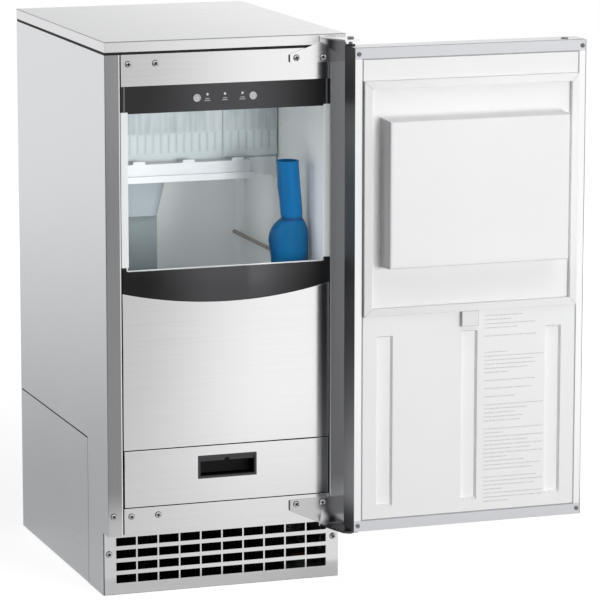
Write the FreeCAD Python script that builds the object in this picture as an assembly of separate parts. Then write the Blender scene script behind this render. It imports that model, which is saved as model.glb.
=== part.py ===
import FreeCAD, Part
import math
import os

# Undercounter cube ice machine with its door open by half a turn. Millimetres.
# X runs to the right seen from the front, Y to the back, Z up.
# The origin is the middle of the cabinet's base, on the floor.

# Cabinet
cabinet_width = 378.0
cabinet_depth = 500.0
cabinet_height = 848.0
sheet = 1.0
top_skirt = 16.0
seal_height = 4.0
seal_inset = 0.5
stile_width = 24.0
stile_return = 12.0
top_flange = 18.0
toe_height = 98.0
toe_depth = 28.0
panel_gap = 1.5
access_setback = 110.0
access_top = 229.5
pan_sheet = 2.0
pan_flange = 25.0
pan_front_lip = 10.0
floor_gap = 1.0

# Header, controls and lip
header_height = 47.5
bezel_height = 38.5
bezel_depth = 10.0
bezel_wall = 2.5
control_offset = -2.0
button_radius = 6.0
button_spread = 44.0
button_rise = 17.5
button_proud = 1.2
button_flange = 1.5
button_clearance = 0.3
button_seat_gap = 0.2
button_travel = 1.5
lamp_radius = 2.0
lamp_pitch = 27.4
lamp_rise = 22.2
lamp_flange = 1.2
board_setback = 14.0
board_thickness = 1.6
board_half_width = 62.0
board_margin = 5.0
post_radius = 2.5
switch_radius = 3.0
lip_height = 502.0
lip_depth = 4.0
lip_ear = 6.0
lip_corner = 6.0
lip_side_drop = 32.0
lip_middle_drop = 52.0
lip_seam = 0.5

# Insulated bin
side_wall = 35.5
front_wall = 20.0
back_wall = 42.0
floor_wall = 31.5
roof_wall = 23.0
liner_wall = 2.5
liner_lip_rise = 1.0
liner_lip_land = 4.0
liner_corner = 15.0
jamb_inset = 0.5
control_depth = 45.0
rear_duct = 70.0

# Ice maker
chamber_depth = 178.0
sump_drop = 194.0
sump_depth = 28.0
sump_wall = 2.5
sump_side_gap = 2.5
sump_back_gap = 12.0
apron_depth = 30.0
apron_side_gap = 45.0
apron_ledge = 6.0
apron_step = 18.0
tab_pitch = 80.0
tab_width = 19.0
tab_height = 4.5
ledge_width = 5.0
ledge_height = 6.0
well_width = 80.0
well_length = 60.0
well_depth = 56.0
well_corner = 24.0
well_setback = 35.0
duct_width = 46.0
pump_radius = 22.0
pump_outlet_radius = 4.0
pump_outlet_height = 12.0
curtain_thickness = 3.0
curtain_gap = 3.5
curtain_clearance = 3.3
curtain_drop = 2.5
curtain_split_inset = 91.5
curtain_seam = 1.0
curtain_end_gap = 2.0
slat_pitch = 12.5
slat_length = 40.0
slat_slit = 0.8
rod_radius = 2.5
running_clearance = 0.06
barrel_wall = 2.0
plate_thickness = 4.0
plate_margin = 16.0
plate_drop = 26.0
cup_radius = 15.0
cup_wall = 1.5
cup_depth = 24.0
cup_columns = 7
cup_rows = 4
hanger_radius = 5.0
coil_pitch = 28.0
coil_side_gap = 43.5
coil_inset = 20.0
coil_feed_inset = 56.0
coil_feed_drop = 60.0
spray_radius = 5.0
spray_end_gap = 1.0
spray_nozzle_radius = 3.0
spray_nozzle_height = 10.0
chute_bar = 3.0
chute_pitch = 16.0
chute_rise = 60.0
chute_cheek = 3.0
thermostat_radius = 3.0
thermostat_length = 240.0
thermostat_inset = 14.5
thermostat_height = 488.0

# Scoop and its holder
scoop_inset = 34.5
scoop_setback = 58.0
scoop_bottom = 428.0
scoop_length = 221.0
scoop_wall = 2.0
handle_radius = 17.5
handle_length = 92.0
neck_length = 36.0
neck_steps = 5
bowl_half_width = 32.0
bowl_half_depth = 21.0
bowl_cut_rise = 14.0
scoop_seat_gap = 0.3
holder_thickness = 3.0
holder_rim = 12.0
holder_margin = 2.0
holder_back_height = 60.0

# Drawer
rail_height = 42.0
drawer_side_gap = 2.5
drawer_pan_depth = 27.0
pull_half_width = 46.7
pull_height = 35.5
pull_rise = 36.5
pull_rim = 3.5
pull_proud = 1.2
pull_wall = 1.8
pull_depth = 24.0
pull_lip_drop = 6.0
pull_lip_notch = 4.0
pull_clearance = 0.3
tray_side_gap = 17.0
tray_length = 205.0
tray_wall = 2.0
tray_rise = 5.5
tray_height = 68.0
tray_flange = 12.0
runner_clearance = 0.3
runner_sheet = 2.0
runner_height = 22.0
runner_gap = 2.5
runner_start = 30.0
runner_length = 210.0

# Kick plate
kick_margin = 19.0
slot_rows = 4
slot_width = 31.5
slot_height = 13.0
slot_pitch_x = 34.0
slot_pitch_z = 19.3
slot_bottom = 17.9

# Hinges
bracket_thickness = 3.0
bracket_length = 90.0
bracket_corner = 3.0
bracket_screw_near = 37.0
bracket_screw_far = 79.0
head_plate_height = 39.0
head_step_height = 9.0
foot_step_height = 5.0
head_tail_height = 13.0
foot_plate_height = 44.0
foot_tail_height = 17.0
bracket_step = 42.0
flange_reach = 62.0
flange_toe = 23.0
pin_radius = 3.0
pin_inset = 6.0
pin_head_radius = 5.0
pin_head_height = 3.0
pin_nut_radius = 5.5
pin_nut_height = 4.0
pin_depth = 14.0
bush_wall = 2.0
bush_depth = 16.0
bush_collar = 2.0
bush_gap = 0.3

# Door
door_side_inset = 3.0
door_thickness = 46.0
door_gap = 9.0
door_bottom = 97.0
door_head_gap = 7.5
door_foot_gap = 4.0
pin_setback = 8.0
door_open_angle = 180.0
skin_band_side = 11.0
skin_band_end = 16.0
door_groove = 1.5
door_liner_wall = 2.5
door_liner_edge = 1.0
plug_side_gap = 7.5
plug_lip_gap = 2.0
plug_head_gap = 10.5
plug_reach = 40.0
plug_draft = 1.5
plug_round = 3.0
gasket_inset = 13.0
gasket_lip_drop = 74.0
gasket_rise = 4.5
gasket_band = 12.5
gasket_clearance = 0.5
groove_inset = 48.5
groove_width = 26.0
groove_bottom = 134.0
groove_height = 263.0
groove_depth = 6.0
block_width = 29.0
block_offset = 2.0
block_height = 22.0
block_bottom = 404.5
block_reach = 8.0
spare_hole_inset = 26.0
spare_hole_radius = 4.0
spare_cap_radius = 5.5
spare_cap_height = 1.5
handle_bar_radius = 6.0
handle_bar_bottom = 500.0
handle_bar_length = 300.0
handle_bar_inset = 36.0
handle_post_radius = 5.0
handle_post_inset = 25.0
handle_standoff = 35.0

# Screws
screw_radius = 2.0
screw_length = 8.0
screw_head_radius = 4.5
screw_head_height = 2.5
screw_clearance = 0.2
header_screw_drop = 14.5
rail_screw_drop = 13.0
stile_screw_inset = 9.2
stile_screw_height = 129.0
kick_screw_inset = 9.0
kick_screw_height = 64.0
door_screw_inset = 6.0
door_screw_rise = 9.0
door_screw_radius = 1.5
door_screw_length = 7.0
door_screw_head_radius = 3.5
door_screw_head_height = 1.8

# Machine compartment
compressor_x = 60.0
compressor_setback = 135.0
compressor_radius = 75.0
compressor_body = 120.0
compressor_dome = 40.0
compressor_foot = 18.0
compressor_foot_radius = 9.0
compressor_foot_spread = 62.0
stub_radius = 5.0
stub_length = 14.0
line_radius = 4.5
line_bend = 16.0
discharge_x = 125.0
discharge_height = 100.0
liquid_height = 30.0
liquid_inset = 28.0
suction_height = 120.0
line_setback = 35.0
condenser_left = 39.0
condenser_right = 79.0
condenser_setback = 45.0
condenser_depth = 40.0
condenser_height = 118.0
fin_thickness = 1.0
fin_pitch = 7.0
condenser_tube_radius = 4.0
condenser_tube_rows = 4
shroud_sheet = 2.0
fan_radius = 46.0
fan_hole_clearance = 4.0
fan_hub_radius = 13.0
fan_width = 16.0
fan_gap = 6.0
fan_blades = 5
blade_thickness = 1.5
blade_twist = 35.0
fan_shaft_radius = 3.0
motor_radius = 24.0
motor_length = 45.0
motor_gap = 5.0
motor_foot_width = 30.0
drier_radius = 11.0
drier_length = 100.0
drier_start = 160.0
box_inset = 8.0
box_width = 84.0
box_length = 140.0
box_height = 150.0
box_setback = 80.0
box_sheet = 1.5

# Connections on the back
inlet_x = -60.0
inlet_height = 150.0
inlet_radius = 13.2
inlet_length = 14.0
port_neck_step = 1.0
port_neck_length = 2.0
valve_width = 34.0
valve_depth = 30.0
valve_coil_radius = 12.0
valve_coil_height = 22.0
feed_radius = 5.0
feed_bend = 20.0
feed_rise = 16.0
feed_overhang = 10.0
drain_height = 60.0
drain_radius = 9.5
drain_length = 30.0
drain_flange_radius = 16.0
drain_flange = 3.0
drain_tube_radius = 8.0
drain_bend = 40.0
power_inset = 69.0
power_height = 40.0
power_radius = 10.0
power_proud = 10.0
power_nut_radius = 14.0
power_nut = 5.0
hole_clearance = 0.5
vent_slots = 9
vent_width = 6.0
vent_height = 60.0
vent_pitch = 14.0
vent_bottom = 110.0
vent_inset = 89.0

# Levels and planes that follow from the sizes above
V = FreeCAD.Vector
half = cabinet_width / 2
front = -cabinet_depth / 2
back = cabinet_depth / 2
skirt_bottom = cabinet_height - top_skirt
side_top = skirt_bottom - seal_height
stile_in = half - stile_width
panel_half = stile_in - panel_gap
jamb_half = stile_in - jamb_inset
inner_half = half - sheet
kick_back = front + toe_depth + sheet
header_bottom = side_top - header_height
bezel_bottom = header_bottom - bezel_height
mouth_top = bezel_bottom - liner_wall
liner_lip = lip_height + liner_lip_rise
compartment_top = access_top + sheet
foam_front = front + stile_return + sheet
foam_back = back - rear_duct
bin_half = half - side_wall
bin_front = front + front_wall
bin_back = foam_back - back_wall
bin_floor = compartment_top + floor_wall
chamber_top = side_top - roof_wall
step_y = front + control_depth
curtain_y = bin_back - chamber_depth
sump_height = side_top - sump_drop
sump_front = curtain_y + curtain_gap / 2
sump_back = bin_back - sump_back_gap
sump_half = bin_half - sump_side_gap
sump_bottom = sump_height - sump_depth
apron_half_width = sump_half - apron_side_gap
curtain_split_x = bin_half - curtain_split_inset
coil_reach = bin_half - coil_side_gap
coil_feed_x = bin_half - coil_feed_inset
thermostat_x = bin_half - thermostat_inset
scoop_x = bin_half - scoop_inset
tray_half_width = stile_in - tray_side_gap
power_x = half - power_inset
vent_x = half - vent_inset
well_x = -4 * chute_pitch
well_y = sump_front + well_setback
well_bottom = sump_bottom - well_depth
pump_top = sump_height + pump_outlet_height
spray_z = pump_top + spray_radius
spray_y = well_y + apron_depth + well_setback
rod_z = mouth_top - curtain_drop
barrel_radius = rod_radius + running_clearance + barrel_wall
curtain_bottom = sump_height + curtain_clearance
plate_top = chamber_top - plate_drop
coil_z = plate_top + line_radius
coil_y = sump_front + plate_margin + coil_inset
rail_top = toe_height + rail_height
drawer_bottom = rail_top + panel_gap
drawer_top = access_top - panel_gap
drawer_half = stile_in - drawer_side_gap
pull_bottom = drawer_bottom + pull_rise
tray_front = front + drawer_pan_depth
tray_bottom = drawer_bottom + tray_rise
tray_top = tray_bottom + tray_height
door_half = half - door_side_inset
door_in = front - door_gap
door_out = door_in - door_thickness
hinge_x = door_half - pin_inset
hinge_y = door_out + pin_setback
foot_flange_top = door_bottom - door_foot_gap
head_flange_top = cabinet_height - pin_head_height
head_flange_bottom = head_flange_top - bracket_thickness
door_top = head_flange_bottom - door_head_gap
plug_half_width = bin_half - plug_side_gap
plug_bottom = lip_height + plug_lip_gap
plug_height = mouth_top - plug_head_gap - plug_bottom
gasket_half_width = door_half - gasket_inset
gasket_bottom = lip_height - gasket_lip_drop
gasket_height = header_bottom + gasket_rise - gasket_bottom
groove_spread = door_half - groove_inset
header_screw_z = side_top - header_screw_drop
rail_screw_z = rail_top - rail_screw_drop
compressor_y = back - compressor_setback
line_y = back - line_setback
condenser_x0 = -half + condenser_left
condenser_x1 = half - condenser_right
condenser_y = front + condenser_setback
condenser_bottom = pan_sheet
condenser_top = condenser_bottom + condenser_height
shroud_y = condenser_y + condenser_depth
fan_x = (condenser_x0 + condenser_x1) / 2
fan_z = (condenser_bottom + condenser_top) / 2
fan_y = shroud_y + shroud_sheet + fan_gap
motor_y = fan_y + fan_width + motor_gap
liquid_x = half - liquid_inset
feed_z = sump_height + feed_rise
valve_y = back - sheet - valve_depth / 2


def box(x0, x1, y0, y1, z0, z1):
    """A block between two corners."""
    return Part.makeBox(x1 - x0, y1 - y0, z1 - z0, V(x0, y0, z0))


def rod(radius, start, end):
    """A round bar from one point to another."""
    along = V(*end) - V(*start)
    return Part.makeCylinder(radius, along.Length, V(*start), along)


def face_of(points):
    """A flat face with straight sides."""
    corners = [V(*p) for p in points]
    return Part.Face(Part.makePolygon(corners + corners[:1]))


def prism_x(points, x0, x1):
    """A YZ outline carried along X."""
    return face_of([(x0, y, z) for y, z in points]).extrude(V(x1 - x0, 0, 0))


def prism_y(points, y0, y1):
    """An XZ outline carried along Y."""
    return face_of([(x, y0, z) for x, z in points]).extrude(V(0, y1 - y0, 0))


def prism_z(points, z0, z1):
    """An XY outline carried along Z."""
    return face_of([(x, y, z0) for x, y in points]).extrude(V(0, 0, z1 - z0))


def fused(shapes):
    """One solid from pieces that touch or overlap."""
    whole = shapes[0].multiFuse(shapes[1:]) if len(shapes) > 1 else shapes[0]
    return whole.removeSplitter()


def mirrored(shape):
    """The same piece on the other side of the cabinet."""
    return shape.mirror(V(0, 0, 0), V(1, 0, 0))


def pair(shape):
    """A piece and its mirror image, as two solids."""
    return Part.makeCompound([shape, mirrored(shape)])


def upright_edges(shape, x, y):
    """The vertical edges of a shape at one place in plan."""
    found = []
    for edge in shape.Edges:
        box_of = edge.BoundBox
        flat = box_of.XLength < 0.01 and box_of.YLength < 0.01
        if flat and abs(box_of.XMin - x) < 0.01 and abs(box_of.YMin - y) < 0.01:
            found.append(edge)
    return found


def tube(points, radius, bend):
    """A round tube along straight runs joined by tangent arcs."""
    path = [V(*p) for p in points]
    edges = []
    at = path[0]
    for before, corner, after in zip(path, path[1:], path[2:]):
        u = (before - corner).normalize()
        w = (after - corner).normalize()
        opening = math.acos(max(-1.0, min(1.0, u.dot(w)))) / 2
        reach = bend / math.tan(opening)
        middle = (u + w).normalize()
        bow = corner + middle * (bend / math.sin(opening) - bend)
        edges.append(Part.makeLine(at, corner + u * reach))
        edges.append(Part.Arc(corner + u * reach, bow, corner + w * reach).toShape())
        at = corner + w * reach
    edges.append(Part.makeLine(at, path[-1]))
    ring = Part.Wire([Part.makeCircle(radius, path[0], path[1] - path[0])])
    return Part.Wire(edges).makePipeShell([ring], True, False)


def screw_hole(x, z, y0, y1, radius=screw_radius):
    """The clearance hole of a screw that goes in from the front."""
    return rod(radius + screw_clearance, (x, y0, z), (x, y1, z))


def front_screw(x, z, y):
    """A pan-head screw whose head sits on a face at y."""
    head = rod(screw_head_radius, (x, y - screw_head_height, z), (x, y, z))
    edge = head.Edges
    rim = [e for e in edge if abs(e.BoundBox.YMax - (y - screw_head_height)) < 0.01]
    head = head.makeFillet(screw_head_height / 2, rim)
    return fused([head, rod(screw_radius, (x, y, z), (x, y + screw_length, z))])


# Cabinet shell
def base_pan():
    """Folded tray that the machine stands on."""
    y1 = back - sheet
    floor = box(-inner_half, inner_half, kick_back, y1, 0, pan_sheet)
    side = box(-inner_half, -inner_half + pan_sheet, kick_back, y1, 0, pan_flange)
    rear = box(-inner_half, inner_half, y1 - pan_sheet, y1, 0, pan_flange)
    nose = box(-inner_half, inner_half, kick_back, kick_back + pan_sheet, 0, pan_front_lip)
    return fused([floor, side, mirrored(side), rear, nose])


def side_panel():
    """Stainless side with its front stile and the inward flange under the top, for the left."""
    x0 = -half
    skin = box(x0, x0 + sheet, front, back, 0, side_top)
    stile = box(x0, x0 + stile_width, front, front + sheet, 0, side_top)
    lip = box(x0 + stile_width - sheet, x0 + stile_width, front, front + stile_return, 0, side_top)
    shelf = box(x0, x0 + top_flange, front, back - sheet, side_top - sheet, side_top)
    toe = box(x0 - 1, x0 + stile_width + 1, front - 1, kick_back, -1, toe_height)
    y0 = front + access_setback - panel_gap
    access = box(x0 - 1, x0 + sheet + 1, y0, back + 1, -1, access_top + panel_gap)
    return fused([skin, stile, lip, shelf]).cut(Part.makeCompound([toe, access]))


def left_side_panel():
    """Left side, with a screw low on its stile."""
    hole = screw_hole(-half + stile_screw_inset, stile_screw_height, front - 1, front + sheet + 1)
    return side_panel().cut(hole)


def right_side_panel():
    """Right side, its stile held by the hinge brackets."""
    return mirrored(side_panel())


def left_access_panel():
    """Lift-off panel over the machine compartment."""
    return box(-half, -half + sheet, front + access_setback, back, floor_gap, access_top)


def right_access_panel():
    """The access panel on the other side."""
    return mirrored(left_access_panel())


def back_panel():
    """Rear sheet with an upper flange, vents and the holes of the three connections."""
    skin = box(-inner_half, inner_half, back - sheet, back, floor_gap, side_top)
    reach = half - top_flange
    shelf = box(-reach, reach, back - top_flange, back, side_top - sheet, side_top)
    cuts = []
    for x, z, radius in (
        (inlet_x, inlet_height, inlet_radius),
        (well_x, drain_height, drain_radius),
        (power_x, power_height, power_radius),
    ):
        cuts.append(rod(radius + hole_clearance, (x, back - sheet - 1, z), (x, back + 1, z)))
    for i in range(vent_slots):
        x0 = vent_x + (i - (vent_slots - 1) / 2) * vent_pitch - vent_width / 2
        z1 = vent_bottom + vent_height
        cuts.append(box(x0, x0 + vent_width, back - sheet - 1, back + 1, vent_bottom, z1))
    return fused([skin, shelf]).cut(Part.makeCompound(cuts))


def top_panel():
    """Stainless top folded down all round."""
    outer = box(-half, half, front, back, skirt_bottom, cabinet_height)
    z1 = cabinet_height - sheet
    inner = box(-inner_half, inner_half, front + sheet, back - sheet, skirt_bottom - 1, z1)
    return outer.cut(inner)


def top_gasket():
    """Black foam seal between the top and the cabinet, set back a little from the faces."""
    outer = half - seal_inset
    inner = half - top_flange
    ring = box(-outer, outer, front + seal_inset, back - seal_inset, side_top, skirt_bottom)
    hole = box(-inner, inner, foam_front, back - top_flange, side_top - 1, skirt_bottom + 1)
    return ring.cut(hole)


def liner_profile(wall):
    """The bin's YZ outline, pushed outwards by a wall thickness."""
    miter = wall * (math.sqrt(2) - 1)
    lip_y = front + lip_depth + liner_lip_land
    mouth = front + lip_depth
    return [
        (bin_front - wall, bin_floor - wall),
        (bin_back + wall, bin_floor - wall),
        (bin_back + wall, chamber_top + wall),
        (step_y - wall, chamber_top + wall),
        (step_y - wall, mouth_top + wall),
        (mouth, mouth_top + wall),
        (mouth, liner_lip - wall),
        (lip_y - miter, liner_lip - wall),
        (bin_front - wall, liner_lip - (bin_front - lip_y) - miter),
    ]


def pipe_holes(y0, y1):
    """The ways through the bin's back wall for the coil's ends and the feed tube, and the floor drain."""
    holes = []
    for x in (compressor_x, coil_feed_x):
        holes.append(rod(line_radius + hole_clearance, (x, y0, coil_z), (x, y1, coil_z)))
    holes.append(rod(feed_radius + hole_clearance, (inlet_x, y0, feed_z), (inlet_x, y1, feed_z)))
    radius = drain_tube_radius + hole_clearance
    holes.append(rod(radius, (well_x, well_y, compartment_top - 1), (well_x, well_y, bin_floor + 1)))
    return Part.makeCompound(holes)


def bin_liner():
    """White moulded bin with its jambs, its low front lip and the ledges that carry the sump."""
    wall = liner_wall
    shell = prism_x(liner_profile(wall), -bin_half - wall, bin_half + wall)
    hollow = prism_x(liner_profile(0), -bin_half, bin_half)
    corners = upright_edges(hollow, -bin_half, bin_back) + upright_edges(hollow, bin_half, bin_back)
    hollow = hollow.makeFillet(liner_corner, corners)
    jamb = box(bin_half, jamb_half, front, front + lip_depth, lip_height + lip_ear + lip_seam, bezel_bottom)
    x0 = bin_half - ledge_width
    z0 = sump_bottom - ledge_height
    ledge = box(x0, bin_half + wall, sump_front, bin_back + wall, z0, sump_bottom)
    liner = fused([shell.cut(hollow), jamb, mirrored(jamb), ledge, mirrored(ledge)])
    return liner.cut(pipe_holes(bin_back - liner_corner, bin_back + wall + 1))


def insulation():
    """Foam round the bin and under the top, with room for the controls."""
    wall = liner_wall
    block = box(-inner_half, inner_half, foam_front, foam_back, compartment_top, side_top - sheet)
    slab_top = lip_height - lip_middle_drop - panel_gap
    slab = box(-panel_half, panel_half, front + sheet, foam_front, compartment_top, slab_top)
    reach = half - top_flange - seal_inset
    lid_back = back - top_flange - seal_inset
    lid = box(-reach, reach, foam_front + seal_inset, lid_back, side_top - sheet, cabinet_height - sheet)
    bin_space = prism_x(liner_profile(wall), -bin_half - wall, bin_half + wall)
    controls = box(-panel_half, panel_half, front, step_y - wall, bezel_bottom, chamber_top + wall)
    foam = fused([block, slab, lid])
    foam = foam.cut(Part.makeCompound([bin_space, controls]))
    return foam.cut(pipe_holes(bin_back, foam_back + 1))


# Front panels and controls
def lip_outline(drop):
    """The lip bezel's outline: straight top with raised ears, and a lower edge on one arc."""
    low = lip_height - lip_side_drop - drop
    middle = lip_height - lip_middle_drop - drop
    high = lip_height + lip_ear
    foot = jamb_half - lip_corner - lip_corner
    knee = foot + lip_corner
    bow = lip_corner * math.sqrt(0.5)
    at = front

    def corner_arc(side):
        return Part.Arc(
            V(side * knee, at, high),
            V(side * (foot + bow), at, high - bow),
            V(side * foot, at, lip_height),
        ).toShape()

    edges = [
        Part.Arc(V(-jamb_half, at, low), V(0, at, middle), V(jamb_half, at, low)).toShape(),
        Part.makeLine(V(jamb_half, at, low), V(jamb_half, at, high)),
        Part.makeLine(V(jamb_half, at, high), V(knee, at, high)),
        corner_arc(1),
        Part.makeLine(V(foot, at, lip_height), V(-foot, at, lip_height)),
        corner_arc(-1),
        Part.makeLine(V(-knee, at, high), V(-jamb_half, at, high)),
        Part.makeLine(V(-jamb_half, at, high), V(-jamb_half, at, low)),
    ]
    return Part.Face(Part.Wire(Part.__sortEdges__(edges)))


def lip_bezel():
    """Black moulding along the bin's front lip."""
    return lip_outline(0).extrude(V(0, lip_depth, 0))


def lower_front_panel():
    """Stainless panel under the lip, folded back at its foot."""
    face = box(-panel_half, panel_half, front, front + sheet, access_top, lip_height - lip_seam)
    foot = box(-panel_half, panel_half, front, foam_front, access_top, compartment_top)
    above = lip_outline(lip_seam).extrude(V(0, lip_depth, 0))
    above.translate(V(0, -sheet, 0))
    return fused([face.cut(above), foot])


def header_screws():
    """Where the header's spare bracket holes are, and the bracket's own."""
    near = half - bracket_screw_near
    far = half - bracket_screw_far
    return near, far


def header_panel():
    """Stainless strip over the controls, folded back under the top seal."""
    face = box(-panel_half, panel_half, front, front + sheet, header_bottom, side_top)
    shelf = box(-panel_half, panel_half, front, foam_front, side_top - sheet, side_top)
    holes = []
    for x in header_screws():
        for side in (-1, 1):
            holes.append(screw_hole(side * x, header_screw_z, front - 1, front + sheet + 1))
    return fused([face, shelf]).cut(Part.makeCompound(holes))


def button_places():
    """The two buttons' places along the bezel."""
    return control_offset - button_spread, control_offset + button_spread


def lamp_places():
    """The three lamps' places along the bezel."""
    return [control_offset + i * lamp_pitch for i in (-1, 0, 1)]


def control_bezel():
    """Charcoal moulding that carries the buttons and lamps, with a valance over the liner's edge."""
    shell = box(-jamb_half, jamb_half, front, front + bezel_depth, bezel_bottom, header_bottom)
    reach = jamb_half - bezel_wall
    y1 = front + bezel_depth + 1
    z0 = bezel_bottom + bezel_wall
    z1 = header_bottom - bezel_wall
    hollow = box(-reach, reach, front + bezel_wall, y1, z0, z1)
    holes = []
    y0 = front - 1
    y1 = front + bezel_wall + 1
    for x in button_places():
        z = bezel_bottom + button_rise
        holes.append(rod(button_radius + button_clearance, (x, y0, z), (x, y1, z)))
    for x in lamp_places():
        z = bezel_bottom + lamp_rise
        holes.append(rod(lamp_radius, (x, y0, z), (x, y1, z)))
    valance = box(-bin_half, bin_half, front, front + lip_depth, mouth_top, bezel_bottom)
    return fused([shell.cut(hollow).cut(Part.makeCompound(holes)), valance])


def button(x):
    """A round push button with the flange that keeps it behind the bezel."""
    z = bezel_bottom + button_rise
    seat = front + bezel_wall + button_seat_gap
    cap = rod(button_radius, (x, front - button_proud, z), (x, seat, z))
    flange = rod(button_radius + button_flange, (x, seat, z), (x, seat + button_flange, z))
    return fused([cap, flange])


def power_button():
    """Left button."""
    return button(button_places()[0])


def clean_button():
    """Right button."""
    return button(button_places()[1])


def status_lamps():
    """Three small lenses, each with a flange behind the bezel."""
    z = bezel_bottom + lamp_rise
    seat = front + bezel_wall
    lenses = []
    for x in lamp_places():
        lens = rod(lamp_radius, (x, front, z), (x, seat, z))
        flange = rod(lamp_radius + lamp_flange, (x, seat, z), (x, seat + lamp_flange, z))
        lenses.append(fused([lens, flange]))
    return Part.makeCompound(lenses)


def control_board():
    """Circuit board on four posts, with a switch behind each button."""
    y0 = front + board_setback
    z0 = bezel_bottom + board_margin
    z1 = header_bottom - board_margin
    x0 = control_offset - board_half_width
    x1 = control_offset + board_half_width
    pieces = [box(x0, x1, y0, y0 + board_thickness, z0, z1)]
    for x in (x0 + board_margin, x1 - board_margin):
        for z in (z0 + board_margin, z1 - board_margin):
            pieces.append(rod(post_radius, (x, front + bezel_wall, z), (x, y0, z)))
    z = bezel_bottom + button_rise
    tip = front + bezel_wall + button_flange + button_travel + 2 * button_seat_gap
    for x in button_places():
        pieces.append(rod(switch_radius, (x, tip, z), (x, y0, z)))
    return fused(pieces)


def lower_rail():
    """Stainless strip under the drawer, folded back over the kick plate."""
    face = box(-panel_half, panel_half, front, front + sheet, toe_height, rail_top)
    foot = box(-panel_half, panel_half, front, kick_back, toe_height, toe_height + sheet)
    head = box(-panel_half, panel_half, front, front + stile_return, rail_top - sheet, rail_top)
    holes = []
    for x in header_screws():
        for side in (-1, 1):
            holes.append(screw_hole(side * x, rail_screw_z, front - 1, front + sheet + 1))
    return fused([face, foot, head]).cut(Part.makeCompound(holes))


def kick_plate():
    """Recessed plate with rows of air slots."""
    reach = half - seal_inset
    y0 = front + toe_depth
    plate = box(-reach, reach, y0, kick_back, floor_gap, toe_height)
    slots = []
    slot_columns = int((cabinet_width - 2 * kick_margin) / slot_pitch_x)
    for column in range(slot_columns):
        x0 = (column - (slot_columns - 1) / 2) * slot_pitch_x - slot_width / 2
        for row in range(slot_rows):
            z = slot_bottom + row * slot_pitch_z
            slots.append(box(x0, x0 + slot_width, y0 - 1, kick_back + 1, z, z + slot_height))
    for side in (-1, 1):
        slots.append(screw_hole(side * (half - kick_screw_inset), kick_screw_height, y0 - 1, kick_back + 1))
    return plate.cut(Part.makeCompound(slots))


def front_screws():
    """Screws of the header, the lower rail, the brackets, the left stile and the kick plate."""
    screws = []
    for x in header_screws():
        for z in (header_screw_z, rail_screw_z):
            screws.append(front_screw(-x, z, front))
            screws.append(front_screw(x, z, front - bracket_thickness))
    screws.append(front_screw(-half + stile_screw_inset, stile_screw_height, front))
    for side in (-1, 1):
        screws.append(front_screw(side * (half - kick_screw_inset), kick_screw_height, front + toe_depth))
    return Part.makeCompound(screws)


# Hinges
def bracket_flange(z0, z1):
    """The bracket's level flange, narrow at the cabinet and reaching past the pin."""
    x1 = half - bracket_step
    y1 = front - flange_reach
    return prism_z([(x1, front), (half, front), (half, y1), (half - flange_toe, y1)], z0, z1)


def bracket(outline, z0, z1, screw_z):
    """A hinge bracket: plate on the cabinet's front, flange, and the holes for its pin and screws."""
    plate = prism_y(outline, front - bracket_thickness, front)
    x0 = half - bracket_length
    ends = [e for e in plate.Edges if e.BoundBox.XMax < x0 + 0.1 and e.BoundBox.ZLength < 0.1]
    plate = plate.makeFillet(bracket_corner, ends)
    cuts = [rod(pin_radius + running_clearance, (hinge_x, hinge_y, z0 - 1), (hinge_x, hinge_y, z1 + 1))]
    for x in header_screws():
        cuts.append(screw_hole(x, screw_z, front - bracket_thickness - 1, front + 1))
    return fused([plate, bracket_flange(z0, z1)]).cut(Part.makeCompound(cuts))


def bracket_outline(base, step, tail, far):
    """The bracket plate's XZ outline, from its flange's outer face to its far edge, with a tapered tail."""
    x0 = half - bracket_length
    x1 = half - bracket_step
    return [(x0, far), (half, far), (half, base), (x1, base), (x1, step), (x0, tail)]


def top_hinge_bracket():
    """Upper bracket, its flange over the door."""
    z1 = head_flange_top
    far = z1 - head_plate_height
    outline = bracket_outline(z1, z1 - head_step_height, far + head_tail_height, far)
    return bracket(outline, head_flange_bottom, z1, header_screw_z)


def bottom_hinge_bracket():
    """Lower bracket, its flange under the door."""
    z0 = foot_flange_top - bracket_thickness
    far = z0 + foot_plate_height
    outline = bracket_outline(z0, z0 + foot_step_height, far - foot_tail_height, far)
    return bracket(outline, z0, foot_flange_top, rail_screw_z)


def hinge_pins():
    """Two pins: the upper hangs by its head, the lower is held by its nut."""
    x = hinge_x
    y = hinge_y
    head = rod(pin_head_radius, (x, y, head_flange_top), (x, y, cabinet_height))
    upper = fused([head, rod(pin_radius, (x, y, door_top - pin_depth), (x, y, head_flange_top))])
    z0 = foot_flange_top - bracket_thickness
    nut = rod(pin_nut_radius, (x, y, z0 - pin_nut_height), (x, y, z0))
    lower = fused([nut, rod(pin_radius, (x, y, z0), (x, y, door_bottom + pin_depth))])
    return Part.makeCompound([upper, lower])


# Drawer
def drawer_front():
    """Stainless drawer front folded into a pan, with the cut-out of its pull."""
    y1 = front + drawer_pan_depth
    outer = box(-drawer_half, drawer_half, front, y1, drawer_bottom, drawer_top)
    reach = drawer_half - sheet
    inner = box(-reach, reach, front + sheet, y1 + 1, drawer_bottom + sheet, drawer_top - sheet)
    cup = pull_half_width - pull_rim + pull_wall + pull_clearance
    z0 = pull_bottom + pull_rim - pull_wall - pull_clearance
    z1 = pull_bottom + pull_height - pull_rim + pull_wall + pull_clearance
    return outer.cut(inner).cut(box(-cup, cup, front - 1, front + sheet + 1, z0, z1))


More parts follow.
